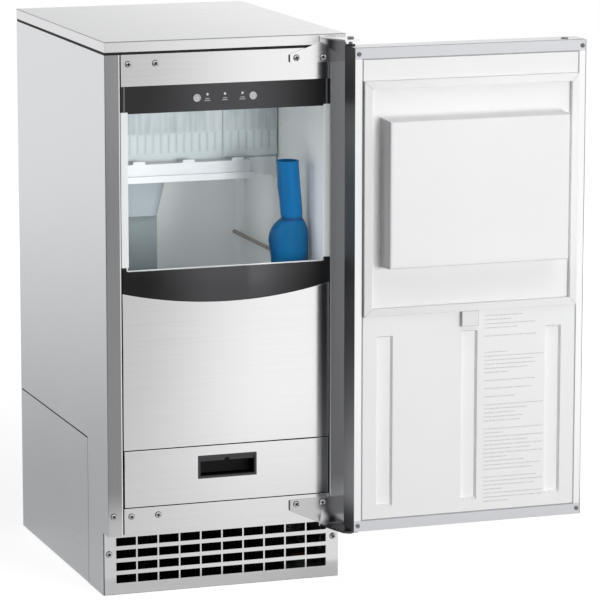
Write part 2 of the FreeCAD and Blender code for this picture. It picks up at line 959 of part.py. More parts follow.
def drawer_pull():
    """Black recessed pull: a rim on the face, a deep cup and a finger lip behind its upper edge."""
    z1 = pull_bottom + pull_height
    rim = box(-pull_half_width, pull_half_width, front - pull_proud, front, pull_bottom, z1)
    inner = pull_half_width - pull_rim
    low = pull_bottom + pull_rim
    high = z1 - pull_rim
    wall = pull_wall
    cup = box(-inner - wall, inner + wall, front, front + pull_depth, low - wall, high + wall)
    hollow = box(-inner, inner, front - pull_proud - 1, front + pull_depth - wall, low, high)
    lip = box(-inner, inner, front + wall, front + 2 * wall, high - pull_lip_drop, high)
    z = high - pull_lip_drop
    notch = rod(pull_lip_notch, (0, front, z), (0, front + pull_depth / 2, z))
    return fused([fused([rim, cup]).cut(hollow), lip.cut(notch)])


def drawer_tray():
    """Open tray with a front plate that closes the drawer front's pan and rims that ride on the runners."""
    plate_half = drawer_half - sheet
    y0 = tray_front - tray_wall
    plate = box(-plate_half, plate_half, y0, tray_front, drawer_bottom + sheet, drawer_top - sheet)
    y1 = tray_front + tray_length
    outer = box(-tray_half_width, tray_half_width, tray_front, y1, tray_bottom, tray_top)
    reach = tray_half_width - tray_wall
    inner = box(-reach, reach, tray_front, y1 - tray_wall, tray_bottom + tray_wall, tray_top + 1)
    x1 = tray_half_width + tray_flange
    rim = box(tray_half_width - tray_wall, x1, tray_front, y1, tray_top - tray_wall, tray_top)
    return fused([plate, outer.cut(inner), rim, mirrored(rim)])


def drawer_runners():
    """Two angle rails on the cabinet sides."""
    z1 = tray_top - tray_wall - runner_clearance
    y0 = front + runner_start
    x0 = tray_half_width + runner_gap
    level = box(x0, inner_half, y0, y0 + runner_length, z1 - runner_sheet, z1)
    upright = box(inner_half - runner_sheet, inner_half, y0, y0 + runner_length, z1 - runner_height, z1)
    return pair(fused([level, upright]))


# Ice maker
def evaporator():
    """Freezing plate with cups that face down, hung from the roof of the bin."""
    y0 = sump_front + plate_margin
    y1 = bin_back - plate_margin
    reach = bin_half - plate_margin
    low = plate_top - plate_thickness
    pieces = [box(-reach, reach, y0, y1, low, plate_top)]
    bores = []
    pitch_x = 2 * reach / cup_columns
    pitch_y = (y1 - y0) / cup_rows
    for column in range(cup_columns):
        x = -reach + (column + 0.5) * pitch_x
        for row in range(cup_rows):
            y = y0 + (row + 0.5) * pitch_y
            pieces.append(rod(cup_radius, (x, y, low - cup_depth), (x, y, low)))
            bores.append(rod(cup_radius - cup_wall, (x, y, low - cup_depth - 1), (x, y, low)))
    for x in (-reach + hanger_radius, reach - hanger_radius):
        for y in (y0 + hanger_radius, y1 - hanger_radius):
            pieces.append(rod(hanger_radius, (x, y, plate_top), (x, y, chamber_top)))
    return fused(pieces).cut(Part.makeCompound(bores))


def sump():
    """Water tray with a tabbed apron in front and the pump's rounded well below."""
    wall = sump_wall
    bowl = box(-sump_half, sump_half, sump_front, sump_back, sump_bottom, sump_height)
    x1 = sump_half - wall
    floor = sump_bottom + wall
    bowl_space = box(-x1, x1, sump_front + wall, sump_back - wall, floor, sump_height + 1)
    y0 = sump_front - apron_depth
    reach = apron_half_width - apron_ledge
    face = box(-reach, reach, y0 + apron_ledge, sump_front, sump_height - apron_step, sump_height)
    ledge = box(-apron_half_width, apron_half_width, y0, sump_front, sump_bottom, sump_height - apron_step)
    pieces = [face, ledge]
    for i in (-1, 0, 1):
        x0 = i * tab_pitch - tab_width / 2
        y1 = y0 + apron_ledge + wall
        z1 = sump_height + tab_height
        pieces.append(box(x0, x0 + tab_width, y0 + apron_ledge, y1, sump_height - wall, z1))
    x0 = well_x - well_width / 2
    x1 = well_x + well_width / 2
    w0 = sump_front
    w1 = sump_front + well_length + well_corner
    well = box(x0, x1, w0, w1, well_bottom, sump_bottom + wall)
    well_corners = []
    for x in (x0, x1):
        for y in (w0, w1):
            well_corners += upright_edges(well, x, y)
    well = well.makeFillet(well_corner, well_corners)
    space = box(x0 + wall, x1 - wall, w0 + wall, w1 - wall, well_bottom + wall, sump_bottom + 2 * wall)
    space_corners = []
    for x in (x0 + wall, x1 - wall):
        for y in (w0 + wall, w1 - wall):
            space_corners += upright_edges(space, x, y)
    space = space.makeFillet(well_corner - wall, space_corners)
    x1 = reach - wall
    hollow_apron = box(-x1, x1, y0 + apron_ledge + wall, sump_front - wall, floor, sump_height + 1)
    whole = fused([bowl, well] + pieces)
    return whole.cut(Part.makeCompound([bowl_space, space, hollow_apron]))


def water_pump():
    """Round pump standing in the well, with its outlet up to the spray bar."""
    z0 = well_bottom + sump_wall
    body = rod(pump_radius, (well_x, well_y, z0), (well_x, well_y, sump_height))
    outlet = rod(pump_outlet_radius, (well_x, well_y, sump_height), (well_x, well_y, pump_top))
    return fused([body, outlet])


def drain_duct():
    """Square duct from the well down to the drain in the bin's floor."""
    r = duct_width / 2
    wall = liner_wall
    outer = box(well_x - r, well_x + r, well_y - r, well_y + r, bin_floor, well_bottom)
    r -= wall
    inner = box(well_x - r, well_x + r, well_y - r, well_y + r, bin_floor - 1, well_bottom + 1)
    return outer.cut(inner)


def spray_bar():
    """Water pipe across the sump with upward nozzles, fed by a branch from the pump."""
    reach = sump_half - chute_cheek - spray_end_gap
    pieces = [rod(spray_radius, (-reach, spray_y, spray_z), (reach, spray_y, spray_z))]
    pieces.append(rod(spray_radius, (well_x, well_y, spray_z), (well_x, spray_y, spray_z)))
    nozzles = int((reach - chute_pitch) / (2 * chute_pitch))
    for i in range(-nozzles, nozzles + 1):
        x = i * 2 * chute_pitch
        top = spray_z + spray_radius + spray_nozzle_height
        pieces.append(rod(spray_nozzle_radius, (x, spray_y, spray_z), (x, spray_y, top)))
    for side in (-1, 1):
        x = side * (reach - spray_radius)
        foot = sump_bottom + sump_wall
        pieces.append(rod(spray_nozzle_radius, (x, spray_y, foot), (x, spray_y, spray_z)))
    return fused(pieces)


def ice_chute():
    """Sloping grid that lets water through and sends cubes out under the curtain."""
    y0 = sump_front + sump_wall
    y1 = sump_back
    z0 = sump_height
    reach = sump_half - chute_cheek
    half_count = int((reach - chute_bar) / chute_pitch + 0.5)
    slope = [(y0, z0), (y1, z0 + chute_rise), (y1, z0 + chute_rise + chute_bar), (y0, z0 + chute_bar)]
    pieces = []
    for i in range(-half_count, half_count):
        x = (i + 0.5) * chute_pitch
        pieces.append(prism_x(slope, x - chute_bar / 2, x + chute_bar / 2))
    top = z0 + chute_rise
    pieces.append(box(-reach, reach, y1 - chute_bar, y1, top - chute_bar, top + chute_bar))
    pieces.append(box(-reach, reach, y0, y0 + chute_bar, z0, z0 + chute_bar))
    cheek = prism_x([(y0, z0), (y1, z0), (y1, z0 + chute_rise), (y0, z0 + chute_bar)], reach, sump_half)
    return fused(pieces + [cheek, mirrored(cheek)])


def curtain_rod():
    """Pivot rod between the bin's side walls."""
    return rod(rod_radius, (-bin_half, curtain_y, rod_z), (bin_half, curtain_y, rod_z))


def curtain(x0, x1):
    """A hanging flap with a barrel round the rod and its lower edge slit into slats."""
    r = curtain_thickness / 2
    flap = box(x0, x1, curtain_y - r, curtain_y + r, curtain_bottom, rod_z)
    barrel = rod(barrel_radius, (x0, curtain_y, rod_z), (x1, curtain_y, rod_z))
    bore = rod(rod_radius + running_clearance, (x0 - 1, curtain_y, rod_z), (x1 + 1, curtain_y, rod_z))
    slits = [bore]
    count = int((x1 - x0) / slat_pitch)
    for i in range(1, count):
        x = x0 + i * (x1 - x0) / count
        slits.append(
            box(
                x - slat_slit / 2,
                x + slat_slit / 2,
                curtain_y - curtain_thickness,
                curtain_y + curtain_thickness,
                curtain_bottom - 1,
                curtain_bottom + slat_length,
            )
        )
    return fused([flap, barrel]).cut(Part.makeCompound(slits))


def curtain_left():
    """Wide part of the curtain."""
    return curtain(-bin_half + curtain_end_gap, curtain_split_x - curtain_seam / 2)


def curtain_right():
    """Narrow part of the curtain."""
    return curtain(curtain_split_x + curtain_seam / 2, bin_half - curtain_end_gap)


def thermostat_tube():
    """Closed tube from the back wall along the bin's side, where ice reaches it when the bin is full."""
    y0 = bin_back - thermostat_length
    x = thermostat_x
    z = thermostat_height
    tip = Part.makeSphere(thermostat_radius, V(x, y0, z))
    return fused([rod(thermostat_radius, (x, y0, z), (x, bin_back, z)), tip])


# Scoop
def oval(half_x, half_y, z):
    """An oval wire about the scoop's axis."""
    centre = V(scoop_x, front + scoop_setback, z)
    if abs(half_x - half_y) < 1e-6:
        return Part.Wire([Part.makeCircle(half_x, centre)])
    curve = Part.Ellipse(centre + V(half_x, 0, 0), centre + V(0, half_y, 0), centre)
    return Part.Wire([curve.toShape()])


def scoop_body(inset):
    """The scoop's outside, or its inside when inset by the wall: straight handle, shoulder and bowl."""
    handle_top = scoop_bottom + scoop_length
    neck_top = handle_top - handle_length
    shoulder = neck_top - neck_length
    grip = handle_radius - inset
    wide = bowl_half_width - inset
    deep = bowl_half_depth - inset
    over = 1.0 if inset else 0.0
    handle = Part.makeLoft([oval(grip, grip, neck_top), oval(grip, grip, handle_top + over)], True)
    rings = []
    for i in range(neck_steps + 1):
        rise = math.sin(math.pi / 2 * i / neck_steps)
        swell = math.cos(math.pi / 2 * i / neck_steps)
        half_x = grip + (wide - grip) * swell
        half_y = grip + (deep - grip) * swell
        rings.append(oval(half_x, half_y, shoulder + rise * neck_length))
    neck = Part.makeLoft(rings, True)
    bowl = Part.makeLoft([oval(wide, deep, scoop_bottom - over), oval(wide, deep, shoulder)], True)
    return fused([handle, neck, bowl])


def scoop():
    """Hollow scoop standing handle up, its bowl cut open at the back."""
    y = front + scoop_setback
    shoulder = scoop_bottom + scoop_length - handle_length - neck_length
    reach = bowl_half_width + 1
    cut = prism_x(
        [
            (y, scoop_bottom - 1),
            (y + reach, scoop_bottom - 1),
            (y + reach, shoulder),
            (y + bowl_half_depth, shoulder),
            (y, scoop_bottom + bowl_cut_rise),
        ],
        scoop_x - reach,
        scoop_x + reach,
    )
    return scoop_body(0).cut(scoop_body(scoop_wall)).cut(cut)


def scoop_holder():
    """Small shelf with a rim on the bin's right wall, under the scoop."""
    t = holder_thickness
    z1 = scoop_bottom - scoop_seat_gap
    z0 = z1 - t
    margin = holder_margin + t
    x0 = scoop_x - bowl_half_width - margin
    y0 = front + scoop_setback - bowl_half_depth - margin
    y1 = front + scoop_setback + bowl_half_depth + margin
    shelf = box(x0, bin_half, y0, y1, z0, z1)
    back_plate = box(bin_half - t / 2, bin_half, y0, y1, z0 - holder_back_height, z0 + t)
    near = box(x0, bin_half, y0, y0 + t, z0, z1 + holder_rim)
    far = box(x0, bin_half, y1 - t, y1, z0, z1 + holder_rim)
    side = box(x0, x0 + t, y0, y1, z0, z1 + holder_rim)
    return fused([shelf, back_plate, near, far, side])


# Machine compartment
def compressor():
    """Sealed shell on rubber feet, with stubs for its two lines."""
    x = compressor_x
    y = compressor_y
    z0 = pan_sheet + compressor_foot
    z1 = z0 + compressor_body
    shell = rod(compressor_radius, (x, y, z0), (x, y, z1))
    round_radius = (compressor_radius**2 + compressor_dome**2) / (2 * compressor_dome)
    dome = Part.makeSphere(round_radius, V(x, y, z1 + compressor_dome - round_radius))
    cap = dome.common(rod(compressor_radius, (x, y, z1), (x, y, z1 + compressor_dome)))
    foot_reach = compressor_foot_spread + compressor_foot_radius
    plate = box(x - foot_reach, x + foot_reach, y - foot_reach, y + foot_reach, z0, z0 + pan_sheet)
    pieces = [shell, cap, plate]
    for dx in (-1, 1):
        for dy in (-1, 1):
            at = (x + dx * compressor_foot_spread, y + dy * compressor_foot_spread)
            pieces.append(rod(compressor_foot_radius, (*at, pan_sheet), (*at, z0)))
    edge = compressor_y - math.sqrt(compressor_radius**2 - (discharge_x - x) ** 2)
    z = discharge_height
    pieces.append(rod(stub_radius, (discharge_x, y, z), (discharge_x, edge - stub_length, z)))
    rear = compressor_y + compressor_radius + stub_length / 2
    pieces.append(rod(stub_radius, (x, y, suction_height), (x, rear, suction_height)))
    return fused(pieces)


def condenser():
    """Finned block behind the kick plate, with tubes through the fins and two stubs."""
    y0 = condenser_y
    y1 = condenser_y + condenser_depth
    count = int((condenser_x1 - condenser_x0) / fin_pitch)
    pitch = (condenser_x1 - condenser_x0 - fin_thickness) / count
    pieces = []
    for i in range(count + 1):
        x = condenser_x0 + i * pitch
        pieces.append(box(x, x + fin_thickness, y0, y1, condenser_bottom, condenser_top))
    middle = (y0 + y1) / 2
    for row in range(condenser_tube_rows):
        z = condenser_bottom + (row + 0.5) * condenser_height / condenser_tube_rows
        pieces.append(rod(condenser_tube_radius, (condenser_x0, middle, z), (condenser_x1, middle, z)))
    x1 = condenser_x1 + stub_length
    for z in (liquid_height, discharge_height):
        pieces.append(rod(stub_radius, (condenser_x1 - fin_pitch, middle, z), (x1, middle, z)))
    return fused(pieces)


def fan_shroud():
    """Sheet behind the condenser with the fan's round opening."""
    plate = box(condenser_x0, condenser_x1, shroud_y, shroud_y + shroud_sheet, pan_sheet, condenser_top)
    radius = fan_radius + fan_hole_clearance
    return plate.cut(rod(radius, (fan_x, shroud_y - 1, fan_z), (fan_x, shroud_y + shroud_sheet + 1, fan_z)))


def fan_blade():
    """Five-bladed fan on the motor's shaft."""
    y1 = fan_y + fan_width
    pieces = [rod(fan_hub_radius, (fan_x, fan_y, fan_z), (fan_x, y1, fan_z))]
    pieces.append(rod(fan_shaft_radius, (fan_x, fan_y, fan_z), (fan_x, motor_y + motor_length / 2, fan_z)))
    middle = V(fan_x, (fan_y + y1) / 2, fan_z)
    chord = fan_width / math.sin(math.radians(blade_twist))
    for i in range(fan_blades):
        blade = box(
            fan_x - chord / 2,
            fan_x + chord / 2,
            middle.y - blade_thickness / 2,
            middle.y + blade_thickness / 2,
            fan_z + fan_hub_radius / 2,
            fan_z + fan_radius,
        )
        blade.rotate(middle, V(0, 0, 1), blade_twist)
        blade = blade.common(rod(fan_radius, (fan_x, fan_y, fan_z), (fan_x, y1, fan_z)))
        blade.rotate(middle, V(0, 1, 0), i * 360 / fan_blades)
        pieces.append(blade)
    return fused(pieces)


def fan_motor():
    """Round motor on a folded foot, bored for the fan's shaft."""
    y1 = motor_y + motor_length
    body = rod(motor_radius, (fan_x, motor_y, fan_z), (fan_x, y1, fan_z))
    r = motor_foot_width / 2
    foot = box(fan_x - r, fan_x + r, motor_y + motor_gap, y1 - motor_gap, pan_sheet, fan_z)
    radius = fan_shaft_radius + running_clearance
    end = motor_y + motor_length / 2 + 1
    bore = rod(radius, (fan_x, motor_y - 1, fan_z), (fan_x, end, fan_z))
    return fused([body, foot]).cut(bore)


def filter_drier():
    """Copper can in the liquid line, on a saddle that stands on the base pan."""
    y0 = front + drier_start
    y1 = y0 + drier_length
    can = rod(drier_radius, (liquid_x, y0, liquid_height), (liquid_x, y1, liquid_height))
    saddle = box(
        liquid_x - drier_radius / 2,
        liquid_x + drier_radius / 2,
        y0 + drier_radius,
        y1 - drier_radius,
        pan_sheet,
        liquid_height,
    )
    return fused([can, saddle])


def refrigerant_lines():
    """Discharge line, short line into the drier, and one line from the drier over the plate and back."""
    middle = condenser_y + condenser_depth / 2
    port = condenser_x1 + stub_length
    edge = compressor_y - math.sqrt(compressor_radius**2 - (discharge_x - compressor_x) ** 2) - stub_length
    aside = discharge_x + line_bend
    z = discharge_height
    discharge = tube(
        [(port, middle, z), (aside, middle, z), (aside, edge - 3 * line_bend, z)]
        + [(discharge_x, edge - 2 * line_bend, z), (discharge_x, edge, z)],
        line_radius,
        line_bend / 2,
    )
    y0 = front + drier_start
    z = liquid_height
    short = tube([(port, middle, z), (liquid_x, middle, z), (liquid_x, y0, z)], line_radius, line_bend)
    turn = coil_z - coil_feed_drop
    points = [(liquid_x, y0 + drier_length, z), (liquid_x, line_y, z), (liquid_x, line_y, turn)]
    points += [(coil_feed_x, line_y, turn), (coil_feed_x, line_y, coil_z), (coil_feed_x, coil_y, coil_z)]
    inner = compressor_x - coil_pitch
    ends = [(-coil_reach,), (-coil_reach, inner), (inner, -coil_reach), (-coil_reach, compressor_x)]
    for row, places in enumerate(ends):
        points += [(x, coil_y + row * coil_pitch, coil_z) for x in places]
    rear = compressor_y + compressor_radius + stub_length / 2
    points += [(compressor_x, line_y, coil_z), (compressor_x, line_y, suction_height)]
    points.append((compressor_x, rear, suction_height))
    circuit = tube(points, line_radius, line_bend / 2)
    return Part.makeCompound([discharge, short, circuit])


def control_box():
    """Closed sheet box for the wiring."""
    x0 = -inner_half + box_inset
    y1 = back - box_setback
    outer = box(x0, x0 + box_width, y1 - box_length, y1, pan_sheet, pan_sheet + box_height)
    s = box_sheet
    inner = box(
        x0 + s, x0 + box_width - s, y1 - box_length + s, y1 - s, pan_sheet + s, pan_sheet + box_height - s
    )
    return outer.cut(inner)


# Connections
def water_valve():
    """Inlet valve on the back panel with its hose thread outside on a short neck and its coil on top."""
    r = valve_width / 2
    y1 = back - sheet
    body = box(inlet_x - r, inlet_x + r, y1 - valve_depth, y1, inlet_height - r, inlet_height + r)
    y2 = back + port_neck_length
    neck = rod(inlet_radius - port_neck_step, (inlet_x, y1, inlet_height), (inlet_x, y2, inlet_height))
    thread = rod(inlet_radius, (inlet_x, y2, inlet_height), (inlet_x, back + inlet_length, inlet_height))
    z = inlet_height + r
    coil = rod(valve_coil_radius, (inlet_x, valve_y, z), (inlet_x, valve_y, z + valve_coil_height))
    return fused([body, neck, thread, coil])


def drain_outlet():
    """Spigot on the back panel for the drain hose, with a neck through the sheet."""
    y = back - sheet
    y1 = back + port_neck_length
    neck = rod(drain_radius - port_neck_step, (well_x, y, drain_height), (well_x, y1, drain_height))
    spigot = rod(drain_radius, (well_x, y1, drain_height), (well_x, back + drain_length, drain_height))
    flange = rod(drain_flange_radius, (well_x, y - drain_flange, drain_height), (well_x, y, drain_height))
    return fused([spigot, neck, flange])


def water_tubes():
    """Feed tube from the valve up to the sump, and drain tube from the bin's floor to the drain outlet."""
    z0 = inlet_height + valve_width / 2 + valve_coil_height
    feed = tube(
        [(inlet_x, valve_y, z0), (inlet_x, valve_y, feed_z), (inlet_x, sump_back - feed_overhang, feed_z)],
        feed_radius,
        feed_bend,
    )
    drain = tube(
        [(well_x, well_y, bin_floor), (well_x, well_y, drain_height)]
        + [(well_x, back - sheet - drain_flange, drain_height)],
        drain_tube_radius,
        drain_bend,
    )
    return Part.makeCompound([feed, drain])


def power_inlet():
    """Bush for the supply lead in the back panel, held by a nut inside."""
    y = back - sheet
    x = power_x
    z = power_height
    end = back + power_proud
    body = rod(power_radius, (x, y - power_nut, z), (x, end, z))
    nut = rod(power_nut_radius, (x, y - power_nut, z), (x, y, z))
    bore = rod(power_radius / 2, (x, y - power_nut - 1, z), (x, end + 1, z))
    return fused([body, nut]).cut(bore)


# Door, made shut and then opened about its pins
def opened(shape):
    """The door's piece turned from shut to the open rest position."""
    shape.rotate(V(hinge_x, hinge_y, 0), V(0, 0, 1), door_open_angle)
    return shape


def spare_holes():
    """Where the hinge holes for the other hand are."""
    return -door_half + spare_hole_inset, (door_in + door_out) / 2


def hinge_bores(radius):
    """Holes in the door's ends for the bushes and for the spare caps."""
    cuts = []
    x, y = spare_holes()
    for z0, z1 in ((door_bottom - 1, door_bottom + bush_depth), (door_top - bush_depth, door_top + 1)):
        cuts.append(rod(radius, (hinge_x, hinge_y, z0), (hinge_x, hinge_y, z1)))
        cuts.append(rod(spare_hole_radius, (x, y, z0), (x, y, z1)))
    return cuts


def door_screw_places():
    """The four corner screws' places on the door's inner face."""
    x = door_half - door_screw_inset
    heights = (door_bottom + door_screw_rise, door_top - door_screw_rise)
    return [(side * x, z) for side in (-1, 1) for z in heights]


def door_screw_bores():
    """Clearance holes of the corner screws."""
    radius = door_screw_radius + screw_clearance
    y0 = door_in - door_screw_length - 1
    return [rod(radius, (x, y0, z), (x, door_in + 1, z)) for x, z in door_screw_places()]


def door_skin():
    """Stainless pan with flanges round its inner face."""
    outer = box(-door_half, door_half, door_out, door_in, door_bottom, door_top)
    reach = door_half - sheet
    inner = box(-reach, reach, door_out + sheet, door_in - sheet, door_bottom + sheet, door_top - sheet)
    x = door_half - skin_band_side
    z0 = door_bottom + skin_band_end
    window = box(-x, x, door_in - 2 * sheet, door_in + 1, z0, door_top - skin_band_end)
    bores = hinge_bores(pin_radius + running_clearance + bush_wall) + door_screw_bores()
    return opened(outer.cut(Part.makeCompound([inner, window] + bores)))


def plug_form(inset, y_back):
    """The raised plug, drafted from its base to its face, from a plane behind the door's inner face."""
    z0 = plug_bottom + inset
    z1 = plug_bottom + plug_height - inset
    x = plug_half_width - inset
    d = plug_draft
    y0 = door_in
    y1 = door_in + plug_reach - inset
    base = [V(-x, y0, z0), V(x, y0, z0), V(x, y0, z1), V(-x, y0, z1)]
    face = [V(d - x, y1, z0 + d), V(x - d, y1, z0 + d), V(x - d, y1, z1 - d), V(d - x, y1, z1 - d)]
    wires = [Part.makePolygon(ring + ring[:1]) for ring in (base, face)]
    block = Part.makeLoft(wires, True, True)
    rim = [e for e in block.Edges if e.BoundBox.YMax > y1 - 0.01]
    block = block.makeFillet(plug_round - inset, rim)
    return fused([block, box(-x, x, y_back, y0, z0, z1)])


def groove_places():
    """The three upright grooves' middles."""
    return -groove_spread, 0.0, groove_spread


def groove_forms(inset, y0, y1):
    """Blocks over the three grooves, grown by a wall."""
    forms = []
    for x in groove_places():
        r = groove_width / 2 + inset
        top = groove_bottom + groove_height + inset
        forms.append(box(x - r, x + r, y0, y1, groove_bottom - inset, top))
    return forms


def door_liner():
    """White moulded inner panel: raised plug, three grooves and a small block."""
    wall = door_liner_wall
    y0 = door_in - sheet - wall
    edge = door_half - sheet - door_liner_edge
    inset = sheet + door_liner_edge
    plate = box(-edge, edge, y0, door_in - sheet, door_bottom + inset, door_top - inset)
    x = door_half - skin_band_side - door_groove
    band = skin_band_end + door_groove
    field = box(-x, x, door_in - sheet, door_in, door_bottom + band, door_top - band)
    channels = groove_forms(wall, door_in - groove_depth - wall, door_in)
    x0 = block_offset - block_width / 2
    x1 = block_offset + block_width / 2
    block = box(x0, x1, door_in - sheet, door_in + block_reach, block_bottom, block_bottom + block_height)
    whole = fused([plate, field, plug_form(0, y0), block] + channels)
    cuts = groove_forms(0, door_in - groove_depth, door_in + 1) + door_screw_bores()
    cuts.append(plug_form(wall, y0 - 1))
    return opened(whole.cut(Part.makeCompound(cuts)))


def door_foam():
    """Foam that fills the door and the plug."""
    wall = door_liner_wall
    y1 = door_in - sheet - wall
    reach = door_half - sheet
    core = box(-reach, reach, door_out + sheet, y1, door_bottom + sheet, door_top - sheet)
    cuts = hinge_bores(pin_radius + running_clearance + bush_wall)
    cuts += groove_forms(wall, door_in - groove_depth - wall, door_in)
    cuts += door_screw_bores()
    return opened(fused([core, plug_form(wall, y1)]).cut(Part.makeCompound(cuts)))


def door_gasket():
    """Soft white loop that seals on the cabinet's front."""
    x = gasket_half_width
    z1 = gasket_bottom + gasket_height
    y1 = door_in + door_gap - gasket_clearance
    b = gasket_band
    ring = box(-x, x, door_in, y1, gasket_bottom, z1)
    return opened(ring.cut(box(b - x, x - b, door_in - 1, y1 + 1, gasket_bottom + b, z1 - b)))


def door_handle():
    """Bar handle on two posts on the door's outer face."""
    x = handle_bar_inset - door_half
    y = door_out - handle_standoff
    z0 = handle_bar_bottom
    z1 = z0 + handle_bar_length
    pieces = [rod(handle_bar_radius, (x, y, z0), (x, y, z1))]
    for z in (z0 + handle_post_inset, z1 - handle_post_inset):
        pieces.append(rod(handle_post_radius, (x, y, z), (x, door_out, z)))
    return opened(fused(pieces))


def door_screws():
    """Four small screws in the corners of the inner face."""
    screws = []
    for x, z in door_screw_places():
        head = rod(door_screw_head_radius, (x, door_in, z), (x, door_in + door_screw_head_height, z))
        shank = rod(door_screw_radius, (x, door_in - door_screw_length, z), (x, door_in, z))
        screws.append(fused([head, shank]))
    return opened(Part.makeCompound(screws))


def hinge_bushes():
    """Plastic bushes in the door's ends; the lower one's collar carries the door."""
    inner = pin_radius + running_clearance
    outer = inner + bush_wall
    collar = outer + bush_collar
    x = hinge_x
    y = hinge_y
    foot = foot_flange_top + bush_gap
    lower = fused(
        [
            rod(outer, (x, y, door_bottom), (x, y, door_bottom + bush_depth)),
            rod(collar, (x, y, foot), (x, y, door_bottom)),
        ]
    )
    upper = fused(
        [
            rod(outer, (x, y, door_top - bush_depth), (x, y, door_top)),
            rod(collar, (x, y, door_top), (x, y, door_top + bush_collar)),
        ]
    )
    bore = rod(inner, (x, y, 0), (x, y, cabinet_height))
    return opened(Part.makeCompound([lower.cut(bore), upper.cut(bore)]))


def hinge_hole_caps():
    """Caps in the spare hinge holes."""
    x, y = spare_holes()
    caps = []
    for z, up in ((door_bottom, -1), (door_top, 1)):
        stem = rod(spare_hole_radius, (x, y, z - up * bush_depth / 2), (x, y, z))
        cap = rod(spare_cap_radius, (x, y, z), (x, y, z + up * spare_cap_height))
        caps.append(fused([stem, cap]))
    return opened(Part.makeCompound(caps))


NODES = [
    base_pan,
    left_side_panel,
    right_side_panel,
    left_access_panel,
    right_access_panel,
    back_panel,
    top_panel,
    top_gasket,
    bin_liner,
    insulation,
    header_panel,
    control_bezel,
    power_button,
    clean_button,
    status_lamps,
    control_board,
    lip_bezel,
    lower_front_panel,
    lower_rail,
    kick_plate,
    front_screws,
    top_hinge_bracket,
    bottom_hinge_bracket,
    hinge_pins,
    drawer_front,
    drawer_pull,
    drawer_tray,
    drawer_runners,
    evaporator,
    sump,
    water_pump,
    drain_duct,
    spray_bar,
    ice_chute,
    curtain_rod,
    curtain_left,
    curtain_right,
    thermostat_tube,
    scoop,
    scoop_holder,
    compressor,
    condenser,
    fan_shroud,
    fan_blade,
    fan_motor,
    filter_drier,
    refrigerant_lines,
    control_box,
    water_valve,
    water_tubes,
    drain_outlet,
    power_inlet,
    door_skin,
    door_liner,
    door_foam,
    door_gasket,
    door_handle,
    door_screws,
    hinge_bushes,
    hinge_hole_caps,
]

os.makedirs("parts", exist_ok=True)
for make in NODES:
    shape = make()
    shape.exportStep("parts/" + make.__name__ + ".step")
    print(make.__name__, len(shape.Solids), round(shape.Volume), shape.isValid())
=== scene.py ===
import math

import bmesh
import bpy
import numpy as np
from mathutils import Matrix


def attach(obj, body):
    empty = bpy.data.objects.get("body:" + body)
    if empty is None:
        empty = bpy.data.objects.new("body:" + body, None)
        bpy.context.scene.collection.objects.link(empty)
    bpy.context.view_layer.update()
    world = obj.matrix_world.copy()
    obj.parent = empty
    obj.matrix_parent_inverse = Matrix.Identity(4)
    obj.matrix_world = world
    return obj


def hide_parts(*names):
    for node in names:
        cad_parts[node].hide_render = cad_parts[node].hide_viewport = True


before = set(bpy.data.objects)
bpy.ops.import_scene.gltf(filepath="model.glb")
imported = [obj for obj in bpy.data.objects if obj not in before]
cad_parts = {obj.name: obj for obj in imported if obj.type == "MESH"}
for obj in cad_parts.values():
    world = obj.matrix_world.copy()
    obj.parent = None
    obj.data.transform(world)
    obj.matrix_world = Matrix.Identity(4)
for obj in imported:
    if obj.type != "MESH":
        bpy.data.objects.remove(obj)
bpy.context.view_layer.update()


# Camera. It stands five and a half metres off, to the left of the machine and above it, and looks
# down at it a little through a long lens with no shift.
def put(name, data):
    """A new object in the scene."""
    made = bpy.data.objects.new(name, data)
    bpy.context.scene.collection.objects.link(made)
    return made


standpoint = (-1.7193, -5.5392, 1.4751)
turn_degrees = (79.5646, -0.0299, -19.1365)
lens = bpy.data.cameras.new("camera")
lens.sensor_width = 36.0
lens.lens = 225.131
camera = put("camera", lens)
camera.location = standpoint
camera.rotation_euler = [math.radians(angle) for angle in turn_degrees]
bpy.context.scene.camera = camera
bpy.context.scene.view_settings.view_transform = "Standard"


# White surround. Matt surfaces get a seventh of full light from it; the camera, gloss and clear
# pieces see it as plain white.
def paint(code):
    """A colour as it looks on screen, #rrggbb, in the linear values that shaders take."""
    screen = np.array([int(code[i : i + 2], 16) for i in (1, 3, 5)]) / 255
    linear = np.where(screen <= 0.04045, screen / 12.92, ((screen + 0.055) / 1.055) ** 2.4)
    return (*linear.tolist(), 1.0)


